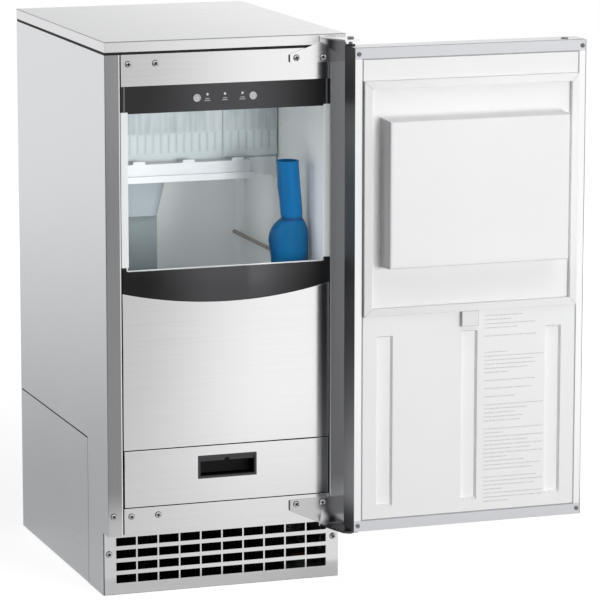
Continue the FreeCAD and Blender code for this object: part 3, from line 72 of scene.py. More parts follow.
class Tone:
    """One socket of a shader: arithmetic on it adds Math nodes, and node() adds any other node."""

    def __init__(self, tree, socket=None):
        self.tree = tree
        self.socket = socket

    def node(self, kind, settings=None, sockets=None, out=0):
        """Adds a node, sets its settings, then its sockets' values or links; gives one output."""
        made = self.tree.nodes.new(kind)
        for key, value in (settings or {}).items():
            setattr(made, key, value)
        for key, value in (sockets or {}).items():
            if isinstance(value, Tone):
                self.tree.links.new(value.socket, made.inputs[key])
            else:
                made.inputs[key].default_value = value
        return Tone(self.tree, made.outputs[out])

    def math(self, operation, first, second):
        return self.node("ShaderNodeMath", {"operation": operation}, {0: first, 1: second})

    def __add__(self, other):
        return self.math("ADD", self, other)

    def __sub__(self, other):
        return self.math("SUBTRACT", self, other)

    def __rsub__(self, other):
        return self.math("SUBTRACT", other, self)

    def __mul__(self, other):
        return self.math("MULTIPLY", self, other)

    def __truediv__(self, other):
        return self.math("DIVIDE", self, other)

    def __rtruediv__(self, other):
        return self.math("DIVIDE", other, self)

    def __abs__(self):
        return self.math("ABSOLUTE", self, 0.0)

    __radd__ = __add__
    __rmul__ = __mul__

    def above(self, edge, soft):
        """0 below an edge and 1 above it, by a smooth step."""
        span = {0: self, 1: edge - soft, 2: edge + soft}
        return self.node("ShaderNodeMapRange", {"interpolation_type": "SMOOTHSTEP"}, span)

    def within(self, low, high, soft):
        """1 between two edges and 0 outside them."""
        return self.above(low, soft) - self.above(high, soft)

    def mix(self, low, high):
        """The colour between two colours, or codes of colours, that this value picks."""
        low, high = (paint(shade) if isinstance(shade, str) else shade for shade in (low, high))
        return self.node("ShaderNodeMix", {"data_type": "RGBA"}, {0: self, 6: low, 7: high}, 2)

    def axis(self, letter):
        """One coordinate of a place."""
        return self.node("ShaderNodeSeparateXYZ", None, {0: self}, "XYZ".index(letter))

    def noise(self, stretch, detail=3):
        """Cloudy noise on a place, by clouds to the unit, alike or apart for each axis."""
        stretch = (stretch,) * 3 if isinstance(stretch, float) else stretch
        drawn = self.node("ShaderNodeVectorMath", {"operation": "MULTIPLY"}, {0: self, 1: stretch})
        sockets = {"Vector": drawn, "Scale": 1.0, "Detail": detail}
        return self.node("ShaderNodeTexNoise", None, sockets)


def seen(tree):
    """1 for rays of the camera, of gloss and of clear pieces, 0 for the light on matt surfaces."""
    start = Tone(tree)
    ways = ("Is Camera Ray", "Is Glossy Ray", "Is Transmission Ray")
    rays = [start.node("ShaderNodeLightPath", out=way) for way in ways]
    return start.math("MAXIMUM", start.math("MAXIMUM", rays[0], rays[1]), rays[2])


surround = bpy.data.worlds.new("surround")
surround.use_nodes = True
bpy.context.scene.world = surround
backing = surround.node_tree.nodes["Background"]
backing.inputs["Color"].default_value = (1.0, 1.0, 1.0, 1.0)
matt_share = 0.14
level = matt_share + (1 - matt_share) * seen(surround.node_tree)
surround.node_tree.links.new(level.socket, backing.inputs["Strength"])


# Floor. A round white sheet under the machine that fades out into the surround and keeps the
# machine's soft shadow.
def surface(
    name, grid, wrap_rows=False, wrap_columns=False, closed=False, flip=False, sharp=40, keep=None
):
    """Mesh over grids of points in millimetres, (..., rows, columns, 3): each point joins the next
    in its row and its column, a wrapped side joins its first line again, quads that aren't kept are
    left out, and doubles are merged."""
    shape = grid.shape[:-1]
    number = np.arange(math.prod(shape)).reshape(shape)
    if wrap_rows:
        number = np.concatenate([number, number[..., :1, :]], axis=-2)
    if wrap_columns:
        number = np.concatenate([number, number[..., :1]], axis=-1)
    row, after = number[..., :-1, :], number[..., 1:, :]
    corners = [row[..., :-1], row[..., 1:], after[..., 1:], after[..., :-1]]
    quads = np.stack(corners[::-1] if flip else corners, axis=-1)
    quads = quads.reshape(-1, 4) if keep is None else quads[keep]
    used, quads = np.unique(quads, return_inverse=True)
    mesh = bpy.data.meshes.new(name)
    mesh.from_pydata((grid.reshape(-1, 3)[used] / 1000).tolist(), [], quads.reshape(-1, 4).tolist())
    return merged(mesh, closed, sharp)


def merged(mesh, closed=False, sharp=40, flat=None):
    """Merges doubles, joins the flat triangles of a copied solid, turns a closed shape's faces
    outwards and smooths all but sharp edges."""
    work = bmesh.new()
    work.from_mesh(mesh)
    bmesh.ops.remove_doubles(work, verts=work.verts, dist=2e-6)
    bmesh.ops.dissolve_degenerate(work, dist=1e-7, edges=work.edges)
    if flat is not None:
        angle = math.radians(flat)
        bmesh.ops.dissolve_limit(work, angle_limit=angle, verts=work.verts, edges=work.edges)
    if closed:
        bmesh.ops.recalc_face_normals(work, faces=work.faces)
    work.to_mesh(mesh)
    work.free()
    mesh.polygons.foreach_set("use_smooth", np.ones(len(mesh.polygons), bool))
    mesh.set_sharp_from_angle(angle=math.radians(sharp))
    return mesh


def placed(*axes):
    """Points from arrays of their coordinates, each stretched to the same shape."""
    return np.stack(np.broadcast_arrays(*axes), axis=-1)


def disc(radius, rows, columns):
    """Flat round grid: radius by row, angle by column, at height nought."""
    r = np.linspace(0, radius, rows)[:, None]
    a = np.linspace(0, 2 * np.pi, columns)
    return placed(r * np.cos(a), r * np.sin(a), 0)


def staged(name, mesh, material_name, shade):
    """Puts a sheet in the scene; shade() turns a place on it, in metres, into its shader."""
    made = put(name, mesh)
    material = bpy.data.materials.new(material_name)
    material.use_nodes = True
    tree = material.node_tree
    tree.nodes.remove(tree.nodes["Principled BSDF"])
    shader = shade(Tone(tree).node("ShaderNodeTexCoord", out="Object"))
    tree.links.new(shader.socket, tree.nodes["Material Output"].inputs["Surface"])
    mesh.materials.append(material)
    return made


def floor_white(place):
    """Matt white with a glow that gains with the reach from the middle, then nothing."""
    reach = place.node("ShaderNodeVectorMath", {"operation": "LENGTH"}, {0: place}, "Value")
    cloth = place.noise(40.0, 2).mix((0.48, 0.48, 0.48, 1), (0.52, 0.52, 0.52, 1))
    matt = place.node("ShaderNodeBsdfDiffuse", None, {"Color": cloth})
    eye = place.node("ShaderNodeLightPath", out="Is Camera Ray")
    strength = (0.38 + 0.34 * reach.above(1.8, 1.3)) * seen(place.tree) + 0.44 * eye
    glow = place.node("ShaderNodeEmission", None, {"Strength": strength})
    lit = place.node("ShaderNodeAddShader", None, {0: matt, 1: glow})
    clear = place.node("ShaderNodeBsdfTransparent")
    return place.node("ShaderNodeMixShader", None, {0: reach.above(3.4, 0.6), 1: lit, 2: clear})


floor_radius = 4200
floor_middle = np.array([120, -100, -0.6])
floor_grid = disc(floor_radius, 30, 97) + floor_middle
staged("floor", surface("floor", floor_grid, flip=True), "floor_white", floor_white)


# Lamps. A soft key stands low in front, a little to the right, so that left flanks fall into
# shade, one hangs high up, and four faint ones fill the bin from its mouth, across it and under the
# sump. A bent graded card in front is seen by gloss alone.
def lamp(name, aim, azimuth, elevation, distance, power, size):
    """Square soft lamp aimed at a point: azimuth from the front towards the right. A power of share
    pi^2 distance^2 gives that share of full brightness to a matt surface turned to it."""
    light = bpy.data.lights.new(name, "AREA")
    light.size = size
    light.energy = power
    fitting = put(name, light)
    a, e = math.radians(azimuth), math.radians(elevation)
    out = np.array([math.sin(a) * math.cos(e), -math.cos(a) * math.cos(e), math.sin(e)])
    fitting.location = np.array(aim) + distance * out
    fitting.rotation_euler = (math.pi / 2 - e, 0.0, a)
    fitting.visible_camera = fitting.visible_glossy = fitting.visible_transmission = False
    return light


middle = (0.15, -0.25, 0.45)
for name, azimuth, elevation, distance, share, size in (
    ("key_lamp", 14, 3, 3.4, 0.6, 1.1),
    ("top_lamp", 40, 50, 2.6, 0.34, 2.2),
):
    power = share * math.pi**2 * distance**2
    lamp(name, middle, azimuth, elevation, distance, power, size)
for name, aim, azimuth, share, width, height in (
    ("mouth_lamp", (0.0, -0.2, 0.62), 0, 0.28, 0.3, 0.22),
    ("wall_lamp", (-0.09, -0.18, 0.62), -90, 1.6, 0.13, 0.2),
    ("strip_lamp", (0.09, -0.285, 0.55), -90, 3.4, 0.03, 0.16),
    ("sump_lamp", (0.04, 0.03, 0.55), 0, 1.7, 0.1, 0.09),
):
    power = share * math.pi * width * height
    fill = lamp(name, aim, azimuth, 0, 0.06, power, width)
    fill.shape, fill.size_y = "RECTANGLE", height


def bent_card():
    """A sheet that lies just over the floor from y = -300 to -3300, then turns up to 1100 high."""
    along = np.linspace(-4500, 4500, 19)[:, None]
    y = [-300, -800, -1400, -2200, -3000, -3240, -3300, -3300, -3300]
    z = [4, 4, 4, 4, 4, 40, 160, 600, 1100]
    return placed(along, y, z)


def card_grey(place):
    """Glow in steps from left to right, slanted as the view is, and stronger farther off."""
    ahead = -0.25 - place.axis("Y")
    across = place.axis("X") - 0.335 * ahead
    grade = 0.12 + 0.5 * across.above(-0.6, 0.25) + 0.43 * across.above(-0.09, 0.16)
    far = ahead.above(0.8, 0.6)
    bright = (1 - (1 - grade) * (0.5 + 0.5 * far)) * (0.84 + 0.22 * far)
    return place.node("ShaderNodeEmission", None, {"Strength": bright})


card = staged("card", surface("card", bent_card()), "card_grey", card_grey)
card.visible_camera = card.visible_diffuse = card.visible_transmission = card.visible_shadow = False


# Base pan, control box, drawer runners and tray. Zinc coated steel sheet, bent and spot welded; the
# zinc shows its large flat crystals.
def finish(name, fixed, recipe):
    """Material from fixed sockets and a recipe that turns a place in millimetres into tones."""
    material = bpy.data.materials.new(name)
    material.use_nodes = True
    tree = material.node_tree
    shader = tree.nodes["Principled BSDF"]
    for socket, value in fixed.items():
        shader.inputs[socket].default_value = value
    here = Tone(tree).node("ShaderNodeTexCoord", out="Object")
    here = here.node("ShaderNodeVectorMath", {"operation": "SCALE"}, {0: here, "Scale": 1000.0})
    here.x, here.y, here.z = (here.axis(letter) for letter in "XYZ")
    for socket, tone in recipe(here).items():
        if socket == "Bump":
            tone = here.node("ShaderNodeBump", None, {"Height": tone[0], "Distance": tone[1]})
            socket = "Normal"
        tree.links.new(tone.socket, shader.inputs[socket])
    return material


def dress(material, *names):
    """Gives CAD nodes that keep their own shape a material."""
    for name in names:
        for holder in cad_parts[name].material_slots:
            holder.material = material


metal = {"Metallic": 1.0}


def zinc_crystals(here):
    """Cells a few millimetres wide, each with its own grey."""
    sockets = {"Vector": here, "Scale": 0.14}
    cells = here.node("ShaderNodeTexVoronoi", None, sockets, "Color").axis("X")
    dust = here.noise(1.5, 4)
    return {
        "Base Color": (0.75 * cells + 0.25 * dust).mix("#8d9192", "#c3c7c8"),
        "Roughness": 0.32 + 0.18 * cells + 0.08 * dust,
    }


zinc = finish("zinc_sheet", {"Metallic": 0.9}, zinc_crystals)
dress(zinc, "base_pan", "control_box", "drawer_runners", "drawer_tray")


# Compressor, drier and fan motor. Pressed and welded steel shells, stoved in black enamel with a
# faint orange peel.
def grained(dark, light, cloud, grain, rough, height):
    """Recipe of a skin with clouds, which shade its colour, and a raised fine grain; each is given
    by its scale, its detail and how much it dulls the gloss."""

    def recipe(here):
        clouds, grains = here.noise(*cloud[:2]), here.noise(*grain[:2])
        return {
            "Base Color": clouds.mix(dark, light),
            "Roughness": rough + grain[2] * grains + cloud[2] * clouds,
            "Bump": (grains, height),
        }

    return recipe


black_enamel = grained("#141516", "#2b2c2d", (0.05, 3.0, 0.22), (0.6, 3.0, 0.0), 0.28, 2e-4)
enamel = finish("black_enamel", {"Coat Weight": 0.3}, black_enamel)
dress(enamel, "compressor", "filter_drier", "fan_motor")


# Condenser, fan shroud and fan. Black coated aluminium fins pressed on tubes, in a black moulded
# shroud with a moulded fan; the fins are made darker still, with little gloss, as painted shade for
# the dark compartment seen through the kick plate's slots.
def mottled(dark, light, scale, detail, rough, spread):
    """Recipe of a plain finish: one cloudy noise shades the colour and the roughness."""

    def recipe(here):
        cloud = here.noise(scale, detail)
        return {"Base Color": cloud.mix(dark, light), "Roughness": rough + spread * cloud}

    return recipe


# Near-black fins: partly their black coat, partly painted shade for the compartment behind the
# slots.
fin_metal = mottled("#040405", "#0b0b0c", (0.02, 0.4, 1.8), 3.0, 0.5, 0.25)
dress(finish("fin_metal", {"Specular IOR Level": 0.05}, fin_metal), "condenser")
black_mould = grained("#17181a", "#26272a", (0.03, 2.0, 0.08), (2.2, 3.0, 0.14), 0.38, 6e-5)
black = finish("black_mould", {}, black_mould)
dress(black, "fan_shroud", "fan_blade", "power_inlet")


# Refrigerant lines. Drawn copper tube, bent and brazed at its joints; its colour is made near
# black, with cloudy stains, as painted shade for the dark compartment seen through the kick plate's
# slots.
def drawn_copper(here):
    stain = here.noise(0.03, 4)
    draw = here.noise(0.9)
    # Near-black copper tones: painted shade for the compartment seen through the slots.
    return {"Base Color": stain.mix("#180e09", "#402617"), "Roughness": 0.24 + 0.2 * draw}


dress(finish("drawn_copper", metal, drawn_copper), "refrigerant_lines")


# Water tubes, valve, drain spigot, pump and the scoop's shelf. Milky clear hose, pushed on, and
# grey moulded fittings, screwed to the sheet.
milky = mottled("#cdd8db", "#eef3f4", 0.08, 3.0, 0.2, 0.2)
dress(finish("clear_hose", {"Transmission Weight": 0.5, "IOR": 1.42}, milky), "water_tubes")
grey_mould = grained("#8b8f91", "#a5a9ab", (0.04, 2.0, 0.0), (1.6, 3.0, 0.16), 0.42, 5e-5)
grey = finish("grey_mould", {}, grey_mould)
dress(grey, "water_valve", "drain_outlet", "water_pump", "scoop_holder")


# Insulation of cabinet and door. Rigid foam blown in place between liner and sheet, with fine
# cells; its dark colour is painted shade, since it is seen only through gaps between parts.
def blown_foam(here):
    cells = here.node("ShaderNodeTexVoronoi", None, {"Vector": here, "Scale": 0.8}, "Distance")
    cloud = here.noise(0.02)
    # Dark foam colour: painted shade for the gaps it shows through.
    return {
        "Base Color": cloud.mix("#1d1e20", "#34363a"),
        "Roughness": 0.8 + 0.15 * cells,
        "Bump": (cells, 0.0003),
    }


dress(finish("blown_foam", {}, blown_foam), "insulation", "door_foam")


# Bin liner. One white vacuum formed moulding with jambs round the mouth and a low lip in front;
# cold bluish white inside.
def piece(name, mesh, material, body, slot, *nodes):
    """Puts a mesh in the scene as a piece that rides on a body and stands for CAD nodes."""
    made = put(name, mesh)
    mesh.materials.clear()
    mesh.materials.append(material)
    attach(made, body)
    if nodes:
        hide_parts(*nodes)
    return made


def rounded(made, width, segments, angle):
    """Rounds the edges that are sharper than an angle to a small radius, in millimetres."""
    edges = made.modifiers.new("edges", "BEVEL")
    edges.width = width / 1000
    edges.segments = segments
    edges.limit_method = "ANGLE"
    edges.angle_limit = math.radians(angle)


def eased(node, material, width, segments=2, body="cabinet", slot="stainless_sheet"):
    """A copy of a CAD node with its edges rounded, as bent or moulded edges are."""
    mesh = merged(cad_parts[node].data.copy(), flat=0.15)
    made = piece(node + "_eased", mesh, material, body, slot, node)
    rounded(made, width, segments, angle=38)
    return made


thinned, peel = (0.008, 3.0, 0.1), (0.45, 2.0, 0.14)
bin_sheet = grained("#eaeeef", "#f3f6f6", thinned, peel, 0.3, 6e-5)
bin_white = finish("bin_white", {"Specular IOR Level": 0.4}, bin_sheet)
eased("bin_liner", bin_white, 0.8, slot="white_liner")


# Ice maker. Tinned copper evaporator with its cups, spray bar and chute of clear plastic, white
# moulded sump with an apron, and the drain duct below its pump well.
tinned = mottled("#a9aaa6", "#d6d6d2", 0.05, 4.0, 0.22, 0.25)
dress(finish("tinned_copper", metal, tinned), "evaporator")
ice_clear = finish("ice_clear", {"Transmission Weight": 0.1, "IOR": 1.46}, milky)
dress(ice_clear, "spray_bar", "ice_chute")


def sump_moulding(here):
    """White moulding, greyed below z = 604 in the pump well under its floor as painted shade."""
    tones = grained("#dee4e6", "#e9edef", thinned, peel, 0.3, 4e-5)(here)
    # Painted shade: the well under the sump's floor is greyed.
    well = 1 - here.z.above(604, 1.5)
    tones["Base Color"] = well.mix(tones["Base Color"], "#a9b3b8")
    return tones


def draw_in(mesh):
    """Leans the pump well's right wall in, below its top: x falls by lean s (top - z) / depth,
    where s goes from 0 at the well's middle to 1 at its right wall."""
    middle, half_width, top, depth, lean = -64, 40, 606, 56, 0.015
    points = np.empty(3 * len(mesh.vertices), np.float32)
    mesh.vertices.foreach_get("co", points)
    points = points.reshape(-1, 3)
    side = np.clip((1000 * points[:, 0] - middle) / half_width, 0, 1)
    points[:, 0] -= lean * side * np.clip((top - 1000 * points[:, 2]) / depth, 0, 1)
    mesh.vertices.foreach_set("co", points.ravel())
    mesh.update()


def drip_lip():
    """Profile of y and z, carried along x: it slopes up from the apron's inside to the sump's front
    wall and stands up behind the curtain's lower edge."""
    half_length = 102
    y = [-59.4, -50, -41, -38.2, -37.2, -36.8]
    z = [629, 631.6, 633.8, 634.4, 636, 641]
    x = np.linspace(-half_length, half_length, 13)[:, None]
    return placed(x, y, z)


def walled(made, thickness, even=False):
    """Gives a sheet its thickness in millimetres, inwards from its outer face."""
    wall = made.modifiers.new("wall", "SOLIDIFY")
    wall.thickness = thickness / 1000
    wall.offset = -1.0
    wall.use_even_offset = even


sump_white = finish("sump_white", {}, sump_moulding)
tray = eased("sump", sump_white, 0.9, slot="white_liner")
draw_in(tray.data)
mesh = surface("sump_lip", drip_lip(), flip=True)
walled(piece("sump_lip", mesh, sump_white, "cabinet", "white_liner"), 1.0)
duct_grey = mottled("#7f898c", "#8f999c", (0.02, 0.02, 0.006), 2.0, 0.4, 0.15)
eased("drain_duct", finish("duct_grey", {}, duct_grey), 2.0, 3, slot="white_liner")


# Curtain. Two hinged flaps of pale translucent plastic; the lower part is slit into rounded slats
# that ice pushes open, with a plain strip under them and a barrel on the pivot rod.
flaps = (("curtain_left", -151.5, 61.5, 17), ("curtain_right", 62.5, 151.5, 7))


def flap(x0, x1, count):
    """Front of a flap: y is its plane less a parabolic crown in the slat rows, plus a slit where
    two slats meet; u runs over each slat, and the rows go up from the lower edge."""
    plane, crown_height, slit_depth = -41.5, 0.9, 0.45
    slat_low, slat_high, run = 647, 678, 2.4
    u = np.array([0, 0.025, 0.05, 0.12, 0.28, 0.5, 0.72, 0.88, 0.95, 0.975])
    step = (x1 - x0) / count
    x = np.append((x0 + step * (np.arange(count)[:, None] + u)).ravel(), x1)
    u = np.append(np.tile(u, count), 0.0)
    rows = [slat_low, 647.8, 649.3, 651.5, 662, 673.5, 675.7, 677.2, slat_high]
    z = np.array([637.3, 637.9, *rows, 690, 734, 737])
    slat = np.clip((z - slat_low) / run, 0, 1) * np.clip((slat_high - z) / run, 0, 1)
    crown = crown_height * (1 - (2 * u - 1) ** 2)
    slit = slit_depth * np.clip(1 - np.minimum(u, 1 - u) / 0.04, 0, 1)
    slit[[0, -1]] = 0
    y = plane - slat[:, None] * (crown - slit)[None, :]
    return placed(x, y, z[:, None])


def tube(x0, x1, outer, inner, y, z, columns=32):
    """Plain sleeve on an axis along X: outer wall, end, inner wall and end, turned round it."""
    radius = np.array([outer, outer, inner, inner])[:, None]
    x = np.array([x0, x1, x1, x0])[:, None]
    a = np.linspace(0, 2 * np.pi, columns, endpoint=False)
    return placed(x, y + radius * np.cos(a), z + radius * np.sin(a))


def slat_plastic(here):
    """Pale plastic, hazier and streaked above the slats, where the cups behind show through; u runs
    over each slat, and painted shade greys the slats towards their edges, at the slits between
    them."""
    up = here.z.above(678, 2)
    streak = here.noise((0.16, 0.02, 0.006)).above(0.5, 0.16)
    haze = here.noise((0.012, 0.012, 0.03), 2)
    slats = [(here.x - x0) * (count / (x1 - x0)) for name, x0, x1, count in flaps]
    right = here.x.above(62, 0.2)
    along = (1 - right) * slats[0] + right * slats[1]
    u = along.math("FRACT", along, 0.0)
    # Painted shade in the slits: the slats grey towards their edges.
    edge = (1 - u.within(0.16, 0.84, 0.12)) * here.z.within(647, 678, 1.2)
    pale = haze.mix("#ced8db", "#dbe3e5")
    low = (0.35 * edge).mix(pale, "#b4bfc4")
    patch = here.noise((0.03, 0.01, 0.012), 2).above(0.52, 0.14)
    thin, thick = streak.mix("#c6cfd2", "#d3dbde"), streak.mix("#b3bec2", "#c4ced1")
    high = patch.mix(thin, thick)
    return {"Base Color": up.mix(low, high), "Roughness": 0.3 + 0.2 * haze}


slats = finish("slat_plastic", {"Transmission Weight": 0.08, "IOR": 1.46}, slat_plastic)
rod_y, rod_z, barrel_outer, barrel_inner = -40, 737, 4.56, 2.62
for name, x0, x1, count in flaps:
    mesh = surface(name + "_flap", flap(x0, x1, count), sharp=30)
    walled(piece(name + "_flap", mesh, slats, name, "clear_plastic", name), 2.8)
    sleeve = tube(x0, x1, barrel_outer, barrel_inner, rod_y, rod_z)
    mesh = surface(name + "_barrel", sleeve, True, True, closed=True)
    piece(name + "_barrel", mesh, slats, name, "clear_plastic")

polished = mottled("#b4b6b7", "#d9dadb", 0.6, 4.0, 0.16, 0.16)
bright_steel = finish("bright_steel", metal, polished)
dress(bright_steel, "curtain_rod")


# Thermostat tube. A closed brass tube, dulled brown grey by wet, that reaches forward from the
# bin's back wall.
def wet_brass(here):
    stain = here.noise(0.12, 4)
    return {
        "Base Color": stain.mix("#8a827b", "#b5ada4"),
        "Roughness": 0.42 + 0.2 * stain,
        "Metallic": 0.3 + 0.2 * stain,
    }


eased("thermostat_tube", finish("wet_brass", {}, wet_brass), 0.4, slot="tinned_copper")


# Scoop. Blown in clear blue plastic: a straight hollow handle, a round shoulder and a bowl that is
# cut open at the back; it stands on a small grey shelf.
def scoop_shell():
    """Oval rings up the axis: with t from 0 at the neck to 1 at the shoulder's foot, half widths a
    and b swell as 1 - (1 - t)^2.6; the ring angle runs from -T to T about the front, where
    cos T = -cut / b, so the bowl's back is open; the middle line leans right at the neck and left
    at the top, and two small bumps stand on the handle's left."""
    axis_x, axis_y = 119, -192
    neck, shoulder, top, cut_low, cut_high = 561, 35, 650, 442, 521
    stem, wider, deeper = 17.5, 14.5, 3.5
    bowl = np.array([428, 432, 438, 442, 450, 460, 470, 482, 494, 501, 508, 514, 520])
    fall = np.linspace(1, 0, 19) ** 1.5
    handle = np.array([562, 564, 568, 575, 590, 610, 630, 643, 647, 649, 650])
    z = np.concatenate([bowl, neck - shoulder * fall, handle])
    t = np.clip((neck - z) / shoulder, 0, 1)
    swell = 1 - (1 - t) ** 2.6
    below = np.clip((neck - shoulder - z) / 25, 0, 1)
    lip = 0.5 * np.clip((z - 645) / 3, 0, 1) - 0.5
    waist = 0.8 * np.exp(-(((z - 562) / 3) ** 2))
    a = stem + wider * swell + lip - waist - 2.2 * below
    b = stem + deeper * swell + lip - waist
    up = np.clip((z - neck) / (top - neck), 0, 1)
    lean = 5.4 * (1 - t) ** 3 - 7.2 * up + 1.6 * below - 1
    deep = stem + deeper
    cut = np.clip(deep * (z - cut_low) / (cut_high - cut_low), 0, deep)
    turn = np.where(z >= cut_high, np.pi, np.arccos(np.clip(-cut / b, -1, 1)))
    angle = turn[:, None] * np.linspace(-1, 1, 73)
    x = axis_x + lean[:, None] + a[:, None] * np.sin(angle)
    y = axis_y - b[:, None] * np.cos(angle)
    for height in (612, 583):
        bump = np.exp(-(((z[:, None] - height) / 3.5) ** 2) - ((angle + 1.75) / 0.14) ** 2)
        x = x - 2.2 * bump
    return placed(x, y, z[:, None])


def blue_blow(here):
    """Deep blue with slight flow lines along the blow, painted shade in a dark ring at the neck's
    crease and painted shade on the bowl's sides, where they turn away edge-on, and patches dulled
    by fingers."""
    flow = here.noise((0.05, 0.05, 0.012))
    dull = here.noise(0.06)
    # Painted shade: a dark ring at the neck's crease, and the bowl's sides darkened away from its
    # middle.
    seam_shade = here.z.within(558, 563.5, 2.5)
    side = abs(here.x - 119.0).above(25, 8)
    bowl = flow.mix("#005c92", "#0577ae")
    blown = here.z.above(556, 4).mix(bowl, flow.mix("#00629f", "#0681c4"))
    return {
        "Base Color": (0.75 * seam_shade).mix((0.6 * side).mix(blown, "#02477e"), "#0b3a70"),
        "Roughness": 0.26 + 0.18 * dull,
    }


see_through = {"Transmission Weight": 0.3, "IOR": 1.45, "Specular IOR Level": 0.3}
blue = finish("blue_blow", see_through, blue_blow)
mesh = surface("scoop_shell", scoop_shell())
walled(piece("scoop_shell", mesh, blue, "scoop", "blue_plastic", "scoop"), 1.8, True)


# Side, access and back panels. Stainless sheet, brushed, folded round the front edge into upright
# stiles; the lower access panels and the back are screwed on.
def brushed(name, tones, along, rough, ends=None):
    """Brushed steel: noise drawn out along one axis, as hairs and as wider bands, shades the
    colour, the roughness and the height; ends gives two places along x, a softness and the colour
    beyond them."""

    def recipe(here):
        hair = here.noise(tuple(0.008 if axis == along else 2.4 for axis in "XYZ"))
        band = here.noise(tuple(0.004 if axis == along else 0.22 for axis in "XYZ"))
        wipe = here.noise(0.006)
        color = (0.45 * hair + 0.35 * band + 0.2 * wipe).mix(tones[0], tones[1])
        if ends:
            color = here.x.within(*ends[:3]).mix(ends[3], color)
        return {
            "Base Color": color,
            "Roughness": rough + 0.06 * band + 0.04 * wipe,
            "Bump": (hair, 1.2e-5),
        }

    return finish(name, metal, recipe)


def folded_side():
    """Plan of a side, x > 0: from the back straight to the front corner, round it, along the stile,
    round its inner edge and back by the return; carried up z, with the toe notch and the access
    opening left out."""
    half, front, back, top = 189, -250, 250, 828
    stile_edge, return_back = 165, -238
    toe_back, toe_top = -221, 98
    opening_front, opening_top = -141.5, 231
    corner, edge = 1.2, 1.6
    quarter = np.linspace(0, np.pi / 2, 6)
    cos, sin = np.cos(quarter), np.sin(quarter)
    outer = placed(half - corner + corner * cos, front + corner - corner * sin)
    inner = placed(stile_edge + edge - edge * sin, front + edge - edge * cos)
    flat = np.array([[half, back], [half, opening_front], [half, toe_back]])
    plan = np.concatenate([flat, outer, [[179, front]], inner, [[stile_edge, return_back]]])
    z = np.array([0, toe_top, opening_top, top])
    x, y = np.broadcast_to(plan.T[:, None, :], (2, len(z), len(plan)))
    zz = z[:, None] + 0 * x
    middle_y, middle_z = (y[:-1, :-1] + y[:-1, 1:]) / 2, (zz[:-1, :-1] + zz[1:, :-1]) / 2
    toe = (middle_y < toe_back) & (middle_z < toe_top)
    opening = (middle_y > opening_front) & (middle_z < opening_top)
    return placed(x, y, zz), ~(toe | opening)


def side_sheet(here):
    """Upright brushing; on the folded stile, in front of y = -249.2, a darker painted reflection
    runs up to its edge, lighter at its foot and at the left one's top, and the left one's inner
    edge has a painted highlight."""
    hair = here.noise((2.4, 2.4, 0.008))
    band = here.noise((0.2, 0.2, 0.004))
    wipe = here.noise(0.005)
    x = here.x
    edge = abs(x).above(166.4, 0.3)
    # Painted highlight on the left stile's inner edge.
    edge_highlight = x.within(-167.2, 0, 0.3)
    # Painted reflection: the stiles darker than the sides, lighter at their foot and the left one's
    # top.
    stile = (1 - here.y.above(-249.2, 0.3)) * edge
    side = (0.4 * hair + 0.3 * band + 0.3 * wipe).mix("#d0d1d3", "#e2e3e5")
    lift = here.z.above(700, 120) * (1 - x.above(0, 1))
    fold = (0.4 * hair + 0.3 * band + 0.3 * lift).mix("#8e8e8f", "#b2b2b3")
    fold = here.z.above(140, 35).mix("#d6d6d7", fold)
    return {
        "Base Color": edge_highlight.mix(stile.mix(side, fold), "#f6f6f7"),
        "Roughness": 0.24 + 0.08 * band + 0.08 * wipe,
        "Bump": (hair, 1.2e-5),
    }


side_steel = finish("side_steel", metal, side_sheet)
side_grid, side_kept = folded_side()
for name, way in (("left_side_panel", -1), ("right_side_panel", 1)):
    mesh = surface(name + "_sheet", side_grid * np.array([way, 1, 1]), flip=way > 0, keep=side_kept)
    mesh.shade_flat()
    made = piece(name + "_sheet", mesh, side_steel, "cabinet", "stainless_sheet", name)
    walled(made, 1.0, True)


def access_sheet(here):
    """Upright brushing, with painted shade along the upper edge and fainter painted shade in front.
    """
    hair = here.noise((2.4, 2.4, 0.008))
    wipe = here.noise(0.006)
    # Painted shade in the gaps along the panel's upper and front edges.
    seam_shade = here.z.above(228.6, 0.25)
    front = 0.6 * (1 - here.y.above(-139.2, 0.25))
    color = (0.6 * hair + 0.4 * wipe).mix("#d0d1d3", "#e2e3e5")
    return {
        "Base Color": seam_shade.math("MAXIMUM", seam_shade, front).mix(color, "#2e2e30"),
        "Roughness": 0.24 + 0.1 * wipe,
        "Bump": (hair, 1.2e-5),
    }


access = finish("access_steel", metal, access_sheet)
for side in ("left", "right"):
    eased(side + "_access_panel", access, 0.3)
dress(brushed("upright_steel", ("#d0d1d3", "#e2e3e5"), "Z", 0.24), "back_panel")


# Seal under the top. A strip of black cellular rubber, glued on and squeezed a little proud by the
# top's weight.
def framed(profile, x0, x1, y0, y1):
    """A profile carried round a rectangle with mitred corners: d is the way in from the rectangle's
    edge and h the height."""
    d, h = profile[:, 0], profile[:, 1]
    across = np.stack([x0 + d, x1 - d, x1 - d, x0 + d])
    along = np.stack([y0 + d, y0 + d, y1 - d, y1 - d])
    return placed(across, along, h)


def softened(points, rounds=2):
    """Cuts every corner of a closed outline a quarter of the way along its sides, a few times."""
    for _ in range(rounds):
        after = np.roll(points, -1, axis=0)
        cuts = [0.75 * points + 0.25 * after, 0.25 * points + 0.75 * after]
        points = np.stack(cuts, axis=1).reshape(-1, 2)
    return points


def cell_rubber(here):
    cells = here.noise(1.8, 4)
    return {
        "Base Color": cells.mix("#0c0c0d", "#232324"),
        "Roughness": 0.7 + 0.2 * cells,
        "Bump": (cells, 0.0002),
    }


rubber = finish("cell_rubber", {}, cell_rubber)
seal_box = (-188.5, 188.5, -249.5, 249.5)
inward = [0.5, 0, 0, 0.5, 9, 9.5, 9.5, 9]
height = [828, 828.8, 831.2, 832, 832, 831, 829, 828]
ring = framed(softened(placed(inward, height), 1), *seal_box)
mesh = surface("top_seal", ring, True, True, closed=True)
piece("top_seal", mesh, rubber, "cabinet", "black_seal", "top_gasket")


